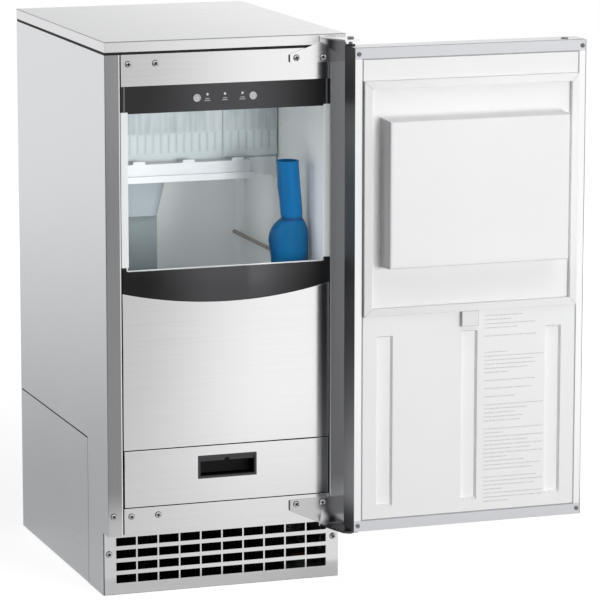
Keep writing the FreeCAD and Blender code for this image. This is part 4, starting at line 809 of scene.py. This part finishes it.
# Top panel. A shallow pan of brushed stainless sheet, its skirt folded down on all four sides, that
# sits on the seal.
def level_sheet(here):
    """Brushed from side to side, with a painted reflection darker towards the left; the skirt has a
    bright painted reflection in front and a greyer one at the sides, and the fold over it has a
    painted dark line."""
    x, z = here.x, here.z
    hair = here.noise((0.008, 2.0, 2.0))
    wipe = here.noise((0.004, 0.01, 0.01))
    # Painted reflection: the level sheet darkens towards the left.
    tone = 0.7 * x.above(0, 260) + 0.1 * hair + 0.2 * wipe
    skirt = 1 - z.above(846.3, 0.5)
    crease = z.within(846.8, 847.7, 0.25)
    # Painted shade on the fold; painted reflection bright on the front skirt, greyer on the sides.
    level = tone.mix("#b9babb", "#ebebec")
    front = abs(x).above(188.5, 0.3).mix(tone.mix("#f3f3f4", "#f8f8f8"), "#dadadc")
    sheet = skirt.mix(level, front)
    return {
        "Base Color": crease.mix(sheet, "#7a7b7d"),
        "Roughness": 0.22 + 0.06 * hair + 0.06 * wipe,
        "Bump": (hair, 8e-6),
    }


pan_box = (-189, 189, -250, 250)
top, bend = 848, 1.4
quarter = np.linspace(0, np.pi / 2, 7)
fold = placed(bend - bend * np.cos(quarter), top - bend + bend * np.sin(quarter))
skirt, level = [[0, 832], [0, 832.6], [0, 846.1]], [[1.9, top], [4, top], [189, top]]
pan = framed(np.concatenate([skirt, fold, level]), *pan_box)
level_steel = finish("level_steel", metal, level_sheet)
mesh = surface("top_pan", pan, True, flip=True)
pan = piece("top_pan", mesh, level_steel, "cabinet", "stainless_sheet", "top_panel")
walled(pan, 1.0, True)


# Header panel. Brushed stainless strip over the controls, folded at its edges and held by two
# screws and the upper hinge bracket.
front_tones = ("#dddddf", "#f0f0f0")
right_shade = (-190.0, 151.0, 3.0, "#8e8e90")
front_steel = brushed("front_steel", front_tones, "X", 0.06, right_shade)
eased("header_panel", front_steel, 0.4)


# Control bezel. Charcoal moulding clipped between the stiles, with a groove near each end and
# short plain printed rules under the lamps.
lamp_rules = ((-29.4, 4.6), (-2.0, 4.2), (25.4, 4.8))


def charcoal(here):
    """Fine grain; a painted reflection, greyer in the middle and darker towards the right, a groove
    5 mm from each end with a painted highlight, and two pale rules under each lamp, the upper one
    shorter."""
    x, y, z = here.x, here.y, here.z
    grain = here.noise(1.8)
    cloud = here.noise(0.02, 2)
    # Painted highlight along the end grooves.
    end = abs(x).within(157.8, 160, 0.3)
    rules = 0
    for lamp_x, wide in lamp_rules:
        for half, low in ((0.7 * wide, 757.3), (wide, 754.4)):
            rule = x.within(lamp_x - half, lamp_x + half, 0.3) * z.within(low, low + 1.2, 0.25)
            rules = rule + rules
    rules = rules * (1 - y.above(-249.5, 0.2))
    # Painted reflection: greyer in the middle, darker to the right.
    middle_reflection = 1 - abs(x - 10.0).above(85, 60)
    dark_reflection = x.above(0, 120).mix("#262627", "#070708")
    body = (0.85 * middle_reflection + 0.15 * cloud).mix(dark_reflection, "#4a4a4c")
    marked = end.mix(body, "#6e6e70")
    return {
        "Base Color": rules.mix(marked, "#b9b9bb"),
        "Roughness": 0.36 + 0.1 * grain,
        "Bump": (grain - 2.0 * end, 4e-5),
    }


bezel_charcoal = finish("bezel_charcoal", {"Specular IOR Level": 0.22}, charcoal)
eased("control_bezel", bezel_charcoal, 0.7, 3, slot="charcoal_plastic")


# Buttons and lamps. Light grey moulded buttons with a dished face and a ring, and small opal
# lenses, held by their flanges behind the bezel; a circuit board stands behind them.
def turned(radius, depth, x, y, z, columns=48):
    """Rings of given radius and depth behind the plane y, round an axis along Y through (x, z)."""
    a = np.linspace(0, 2 * np.pi, columns, endpoint=False)
    r, back = np.array(radius)[:, None], y + np.array(depth)[:, None]
    return placed(x + r * np.cos(a), back, z + r * np.sin(a))


button_grey = grained("#b3b3b4", "#cfcfd0", (0.3, 2.0, 0.0), (2.5, 3.0, 0.14), 0.34, 4e-5)
grey_cap = finish("button_grey", {}, button_grey)
face, button_z, lamp_z = -250, 759.5, 764.2
cap_r = [0, 2.2, 2.6, 3.5, 3.9, 4.4, 5.0, 5.6, 5.95, 6.0, 6.0, 7.5, 7.5, 0]
cap_y = [-0.7, -0.7, -0.25, -0.25, -0.75, -1.1, -1.2, -1.05, -0.6, 0, 2.7, 2.7, 4.2, 4.2]
for name, x in (("power_button", -46.0), ("clean_button", 42.0)):
    cap = turned(cap_r, cap_y, x, face, button_z)
    mesh = surface(name + "_cap", cap, wrap_columns=True, closed=True)
    piece(name + "_cap", mesh, grey_cap, name, "button_grey", name)

lens_r = [0, 0.8, 1.4, 1.8, 1.98, 1.98, 3.2, 3.2, 0]
lens_y = [-0.45, -0.4, -0.25, -0.02, 0.3, 2.5, 2.5, 3.7, 3.7]
lenses = np.stack([turned(lens_r, lens_y, x, face, lamp_z, 24) for x, wide in lamp_rules])
opal = mottled("#e4e4e4", "#f4f4f4", 0.9, 2.0, 0.15, 0.2)
opal_white = finish("lamp_opal", {"Transmission Weight": 0.1}, opal)
mesh = surface("lamp_lenses", lenses, wrap_columns=True, closed=True)
piece("lamp_lenses", mesh, opal_white, "cabinet", "lamp_lens", "status_lamps")


def board_green(here):
    tracks = here.noise((0.4, 0.4, 0.08), 1).above(0.5, 0.03)
    speck = here.noise(1.2, 2)
    return {"Base Color": tracks.mix("#1f4a2c", "#2f6a3f"), "Roughness": 0.35 + 0.2 * speck}


dress(finish("board_green", {"Coat Weight": 0.4}, board_green), "control_board")


# Lip bezel. Black moulding along the bin's lower edge: straight top with an ear at each end, lower
# edge on one wide arc, and a face that bows out a little in the middle.
def lip():
    """With s = (x / half)^2 across and v up: the lower edge is foot + sag s; the upper edge rises
    by a quarter round at the ears; the face stands bow (1 - s) sin(pi v) proud."""
    half, foot, sag, top, bow, face = 164.5, 450, 20, 502, 2.4, -250
    ear, ear_radius = 152.5, 6
    bend = ear + ear_radius * (1 - np.cos(np.linspace(0, np.pi / 2, 9)))
    side = np.concatenate([np.linspace(0, 150, 31), bend, [159.5, 162, half]])
    x = np.concatenate([-side[:0:-1], side])
    s = (x / half) ** 2
    rise = np.clip((np.abs(x) - ear) / ear_radius, 0, 1)
    low = foot + sag * s
    high = top + ear_radius * (1 - np.sqrt(1 - rise**2))
    v = np.linspace(0, 1, 25)[:, None]
    z = low + (high - low) * v
    y = face - bow * (1 - s) * np.sin(np.pi * v)
    return placed(x, y, z)


def lip_black(here):
    """Fine grain, with a painted reflection that is greyer in the middle."""
    # Painted reflection: greyer in the middle, streaked by noise.
    middle_reflection = 1 - abs(here.x - 10.0).above(85, 60)
    grain = here.noise(2.0)
    reflection_tone = here.noise((0.015, 0.05, 0.05))
    return {
        "Base Color": (0.85 * middle_reflection + 0.15 * reflection_tone).mix("#060607", "#4b4b4d"),
        "Roughness": 0.3 + 0.1 * grain,
        "Bump": (grain, 3e-5),
    }


lip_mould = finish("lip_black", {"Specular IOR Level": 0.22}, lip_black)
mesh = surface("lip_mould", lip())
lip_piece = piece("lip_mould", mesh, lip_mould, "cabinet", "black_plastic", "lip_bezel")
walled(lip_piece, 3.5)
rounded(lip_piece, 0.6, 2, angle=50)


# Lower front panel, drawer and lower rail. Brushed stainless sheet with folded edges; the drawer
# front has a black moulded pull let into it.
eased("lower_front_panel", front_steel, 0.4)
plain_steel = brushed("plain_steel", front_tones, "X", 0.06)
eased("lower_rail", plain_steel, 0.4)
eased("drawer_front", front_steel, 0.5, body="drawer")


def pull_black(here):
    """As the lip, with painted shade, blacker, in the recess behind y = -246."""
    tones = lip_black(here)
    # Painted shade in the recess.
    tones["Base Color"] = here.y.above(-246, 3).mix(tones["Base Color"], "#050506")
    return tones


pull_mould = finish("pull_black", {"Specular IOR Level": 0.15}, pull_black)
eased("drawer_pull", pull_mould, 0.5, body="drawer", slot="black_plastic")


# Kick plate. Recessed brushed stainless plate with four rows of punched air slots, held by a screw
# at each end; its left cut end carries painted shade.
# Painted shade on the left cut end, which faces away.
left_end = (-187.4, 200.0, 0.3, "#39393a")
kick_steel = brushed("kick_steel", front_tones, "X", 0.06, left_end)
eased("kick_plate", kick_steel, 0.2, 1)


# Screws. Bright pan heads with a cross recess, in the header, rail, hinge brackets, left stile and
# kick plate; dark discs paint the shade in each recess, and a painted shadow lies round each rim,
# set a little left and up.
def screw_head(radius, height, x, z, plane, turn):
    """Pan head towards -Y: height h (1 - 0.6 (r / R)^2.6), less a cross of two bars that fades out
    at 0.62 R; then the rim, the flat underside and a shank."""
    share = [0, 0.06, 0.12, 0.18, 0.24, 0.3, 0.38, 0.46, 0.54, 0.62, 0.7, 0.8, 0.9, 0.97, 1.0]
    r = radius * np.array(share)[:, None]
    a = np.linspace(0, 2 * np.pi, 64, endpoint=False)
    side = np.minimum(np.abs(r * np.cos(a)), np.abs(r * np.sin(a)))
    cross = np.clip(1.5 - side / (0.18 * radius), 0, 1) * np.clip((0.62 - r / radius) / 0.1, 0, 1)
    h = height * (1 - 0.6 * (r / radius) ** 2.6) - 0.5 * height * cross
    below = np.array([[radius, 0.0], [0.5 * radius, 0.0], [0.5 * radius, -5.0], [0.0, -5.0]])
    r = np.concatenate([r + 0 * a, below[:, :1] + 0 * a])
    h = np.concatenate([h, below[:, 1:] + 0 * a])
    return placed(x + r * np.cos(a + turn), plane - h, z + r * np.sin(a + turn))


leaf, toe, header_z, rail_z = -253, -222, 813.5, 127
across = ((-152, face), (-110, face), (110, leaf), (152, leaf))
places = [(x, z, y) for z in (header_z, rail_z) for x, y in across]
places += [(-179.8, 129, face), (-180, 64, toe), (180, 64, toe)]
heads = np.stack([screw_head(4.5, 2.5, x, z, y, 0.9 * i) for i, (x, z, y) in enumerate(places)])
mesh = surface("panel_screws", heads, wrap_columns=True, closed=True, sharp=50)
piece("panel_screws", mesh, bright_steel, "cabinet", "screw_steel", "front_screws")

# Painted shade and shadow: a dark disc in each cross recess and a dark ring round each head, set
# off left and up.
plug_r, plug_y = [0, 2.3, 2.3, 0], [-1.6, -1.6, -1.2, -1.2]
rim_r, rim_y, rim_off = [0, 5.1, 5.1, 0], [-0.1, -0.1, 0.2, 0.2], 0.3
plugs = [turned(plug_r, plug_y, x, y, z, 24) for x, z, y in places]
rims = [turned(rim_r, rim_y, x - rim_off, y, z + rim_off, 24) for x, z, y in places]
mesh = surface("screw_shade_discs", np.stack(plugs + rims), wrap_columns=True, closed=True)
shade_mottle = mottled("#0b0b0c", "#1d1d1e", 1.1, 3.0, 0.6, 0.3)
screw_shade = finish("screw_shade", {"Specular IOR Level": 0.1}, shade_mottle)
piece("screw_shade_discs", mesh, screw_shade, "cabinet", "screw_steel")


# Hinges. Pressed steel brackets screwed to the cabinet, each with a flange over the door's end and
# a pin; the pins turn in plastic bushes in the door.
def bracket_sheet(here):
    """Brushed along; painted reflections make the upper leaf bright out to its second screw and
    dark from there on, the lower one greyer with its flange dark, and painted shade darkens the cut
    ends of both."""
    x, y, z = here.x, here.y, here.z
    hair = here.noise((0.008, 2.4, 2.4))
    # Painted reflections on the leaves and flange, painted shade on the cut ends.
    leaf = y.above(-253.6, 0.3)
    beyond = x.above(157, 5)
    upper = hair.mix("#e2e2e3", "#f6f6f6")
    upper = (beyond * leaf).mix(upper, hair.mix("#7c7c7e", "#8c8c8e"))
    lower = beyond.mix(hair.mix("#c2c2c3", "#d2d2d3"), hair.mix("#8e8e90", "#a0a0a2"))
    lower = leaf.mix("#4a4a4c", lower)
    cut = 1 - x.above(99.7, 0.2)
    return {
        "Base Color": cut.mix(z.above(500, 1).mix(lower, upper), "#39393b"),
        "Roughness": 0.12 + 0.1 * hair,
    }


bracket_steel = finish("bracket_steel", metal, bracket_sheet)
dark_screw = mottled("#6f7172", "#9c9e9f", 0.7, 4.0, 0.22, 0.2)
dulled = finish("dark_screw", metal, dark_screw)
for end in ("top", "bottom"):
    eased(end + "_hinge_bracket", bracket_steel, 0.6, slot="bracket_steel")
eased("hinge_pins", dulled, 0.6, slot="screw_steel")
dress(black, "hinge_bushes")


# Door skin. Brushed stainless sheet, folded into a pan round the door's edges and in over the
# liner's rim on the inner face.
def door_sheet(here):
    """Upright brushing; a dark painted reflection lies on the hinge edge, short of x = 174.6, and
    the free edge's fold, and a brighter painted reflection on the upright flanges of the inner
    face."""
    x, y, z = here.x, here.y, here.z
    hair = here.noise((2.4, 2.4, 0.008))
    wipe = here.noise(0.005)
    inner = 1 - y.above(-334.4, 0.3)
    # Painted reflections: bright on the upright flanges, dark on the hinge edge and free fold.
    bright = inner * (1 - x.within(187.5, 532.5, 0.4)) * z.within(114, 817.5, 0.6)
    edge = (1 - x.above(174.6, 0.2)) * (1 - inner)
    free = x.above(545, 0.3)
    reflection_tone = z.above(300, 120).mix("#b0b0b3", "#6d6c6a")
    reflection_tone = z.above(135, 22).mix("#5c5c5e", reflection_tone)
    level = (0.4 * hair + 0.6 * wipe).mix("#d0d1d4", "#d8d9dc")
    return {
        "Base Color": (edge + free).mix(bright.mix(level, "#f3f3f4"), reflection_tone),
        "Roughness": 0.24 + 0.08 * wipe + 0.2 * edge,
        "Bump": (hair, 8e-6),
    }


door_steel = finish("door_steel", metal, door_sheet)
eased("door_skin", door_steel, 0.4, body="door")


# Door liner. White vacuum formed sheet with a raised plug that fills the bin's mouth, three upright
# grooves and a small block; a field of plain grey rules stands where guidance is printed.
def lines(low, high, step, *breaks):
    """Grid lines at an even step, and more at given places."""
    even = np.arange(low, high + step / 2, step)
    return np.unique(np.round(np.concatenate([even, [low, high], *breaks]), 3))


def ramp(t, run):
    """0 outside an edge, 1 further inside it than the run."""
    return np.clip(t / run, 0, 1)


door_middle, door_face = 360, -335


def liner_face():
    """Height h over the door's plane, towards -Y, as a field over x and z: each form rises or drops
    with t, how far inside its outline a point is. Plug: a hollow quarter round of 5, then 32 up a
    1.5 wide draft, then a quarter round of 3. Rim, grooves and block: a plain ramp."""
    plug = (-146, 146, 504, 729)
    steps = np.array([-5, -3.6, -2.4, -1.3, -0.5, -0.1, 0, 1.5, 1.65, 2.0, 2.5, 3.2, 4.5])
    rim_drop = 1.1
    forms = [((-173.5, 173.5, 114.5, 817), 0.6, rim_drop), ((-16.5, 12.5, 404.5, 429.5), 1, 8)]
    forms += [((x - 13, x + 13, 134, 397), 2.5, -6) for x in (-137.5, 0, 137.5)]
    edges = [(plug, steps)] + [(form, np.array([0, run])) for form, run, height in forms]
    breaks_x = [side for form, step in edges for side in (form[0] + step, form[1] - step)]
    breaks_z = [side for form, step in edges for side in (form[2] + step, form[3] - step)]
    xx, zz = np.meshgrid(lines(-184, 184, 8, *breaks_x), lines(99, 832.5, 8, *breaks_z))

    def inset(x0, x1, z0, z1):
        return np.minimum(np.minimum(xx - x0, x1 - xx), np.minimum(zz - z0, z1 - zz))

    t = inset(*plug)
    foot = 5 - np.sqrt(25 - np.clip(t + 5, 0, 5) ** 2)
    crown = 3 * np.sqrt(np.clip(1 - (1 - ramp(t - 1.5, 3)) ** 2, 0, 1))
    h = foot + 32 * ramp(t, 1.5) + crown - rim_drop
    for form, run, height in forms:
        h = h + height * ramp(inset(*form), run)
    return placed(xx + door_middle, door_face - h, zz)


def door_white(here):
    """White sheet, with painted shade in the gap along the skin's flange, on the plug's left flank
    and round the small block's edges; the printed field has rows at an even step, some left out,
    each a rule whose length comes from noise by its row."""
    field_left, field_low, field_high, field_wide, step = 384.0, 119.0, 421.0, 98.0, 6.3
    x, y, z = here.x, here.y, here.z
    cloud = here.noise(0.006)
    skin = here.noise(0.4, 2)
    row = (z - field_low) / step
    at = row.math("FRACT", row, 0.0)
    count = row.math("FLOOR", row, 0.0)
    chance, skip = (
        row.node("ShaderNodeTexWhiteNoise", {"noise_dimensions": "1D"}, {"W": seed}, "Value")
        for seed in (count, count + 71.0)
    )
    end = field_left + field_wide * (0.3 + 0.7 * chance.above(0.35, 0.45))
    length = x.above(field_left, 0.4) * (1 - row.math("GREATER_THAN", x, end))
    rule = length * at.within(0.36, 0.6, 0.06) * skip.above(0.2, 0.01)
    broken = 0.45 + 0.55 * here.noise((0.55, 0.1, 0.2), 2).above(0.46, 0.12)
    rule = rule * z.within(field_low, field_high, 0.5) * broken * (1 - y.above(-334, 0.3))
    # Painted shade: the gap along the flange, the plug's left flank and the block's edges.
    gap = 1 - x.within(187, 533, 0.5) * z.within(115, 816.5, 0.5)
    flank = x.within(212, 215.8, 0.3) * (1 - y.above(-337, 1)) * z.above(480, 2)
    white = flank.mix(cloud.mix("#e9e9ea", "#f0f0f0"), "#cacacc")
    block = x.within(343.2, 372.8, 0.4) * z.within(404.2, 429.8, 0.4) * (1 - y.above(-336, 0.5))
    brow = 1 - x.within(345.2, 370.9, 0.5) * z.within(406.3, 428.2, 0.5)
    white = (block * (0.15 + 0.7 * brow)).mix(white, "#b4b4b7")
    base = gap.mix(white, "#a9a9ac")
    return {
        "Base Color": (0.5 * rule).mix(base, "#9a9a9c"),
        "Roughness": 0.34 + 0.12 * skin + 0.08 * cloud,
        "Bump": (skin, 5e-5),
    }


door_paint = finish("door_white", {"Specular IOR Level": 0.4}, door_white)
mesh = surface("door_panel", liner_face(), sharp=28)
liner_piece = piece("door_panel", mesh, door_paint, "door", "door_white", "door_liner")
walled(liner_piece, 2.2)


# Door gasket. Extruded soft white loop with a hollow bellows and a face that slopes up inwards and
# holds a magnet strip, welded at its mitred corners.
def soft_loop(here):
    """White, with a greyer weld line on the corners' diagonals, |x| - |z| = -5.5 from the loop's
    middle."""
    loop_z = 606.5
    cloud = here.noise(0.02)
    fine = here.noise(0.8, 2)
    x, z = here.x - door_middle, here.z - loop_z
    weld = (abs(x) - abs(z)).within(-6.2, -4.8, 0.5)
    return {
        "Base Color": (0.5 * weld).mix(cloud.mix("#e6e6e6", "#efefef"), "#a9a9aa"),
        "Roughness": 0.46 + 0.14 * fine,
        "Bump": (fine, 5e-5),
    }


gasket_white = finish("soft_white", {}, soft_loop)
gasket_box = (187, 533, 428, 785)
inward = [0, 0, 1.4, 1.6, 0.2, 0, 0.6, 2.0, 10.0, 11.6, 12.4, 12.5, 12.1, 12.5]
height = [0, 1.0, 1.8, 2.8, 3.6, 4.8, 5.8, 6.1, 8.2, 8.6, 7.8, 6.0, 3.0, 0]
loop = framed(softened(placed(inward, height)), *gasket_box)
loop = placed(loop[..., 0], door_face - loop[..., 2], loop[..., 1])
mesh = surface("gasket_loop", loop, True, True, closed=True, sharp=45)
piece("gasket_loop", mesh, gasket_white, "door", "soft_white", "door_gasket")


# Door screws, spare hole caps and handle. Small pan heads in the inner face's corners, grey caps in
# the spare hinge holes, and a steel bar on two posts outside.
heads = [
    screw_head(3.5, 1.8, x, z, door_face, turn)
    for x, z, turn in ((180, 106, 0.4), (540, 106, 1.1), (180, 825.5, 1.8), (540, 825.5, 2.5))
]
mesh = surface("corner_screws", np.stack(heads), wrap_columns=True, closed=True, sharp=50)
piece("corner_screws", mesh, dulled, "door", "screw_steel", "door_screws")
eased("hinge_hole_caps", finish("cap_grey", {}, grey_mould), 0.5, body="door", slot="grey_plastic")
handle_steel = brushed("handle_steel", ("#b9bbbc", "#dadbdc"), "Z", 0.18)
eased("door_handle", handle_steel, 1.2, 3, body="door")
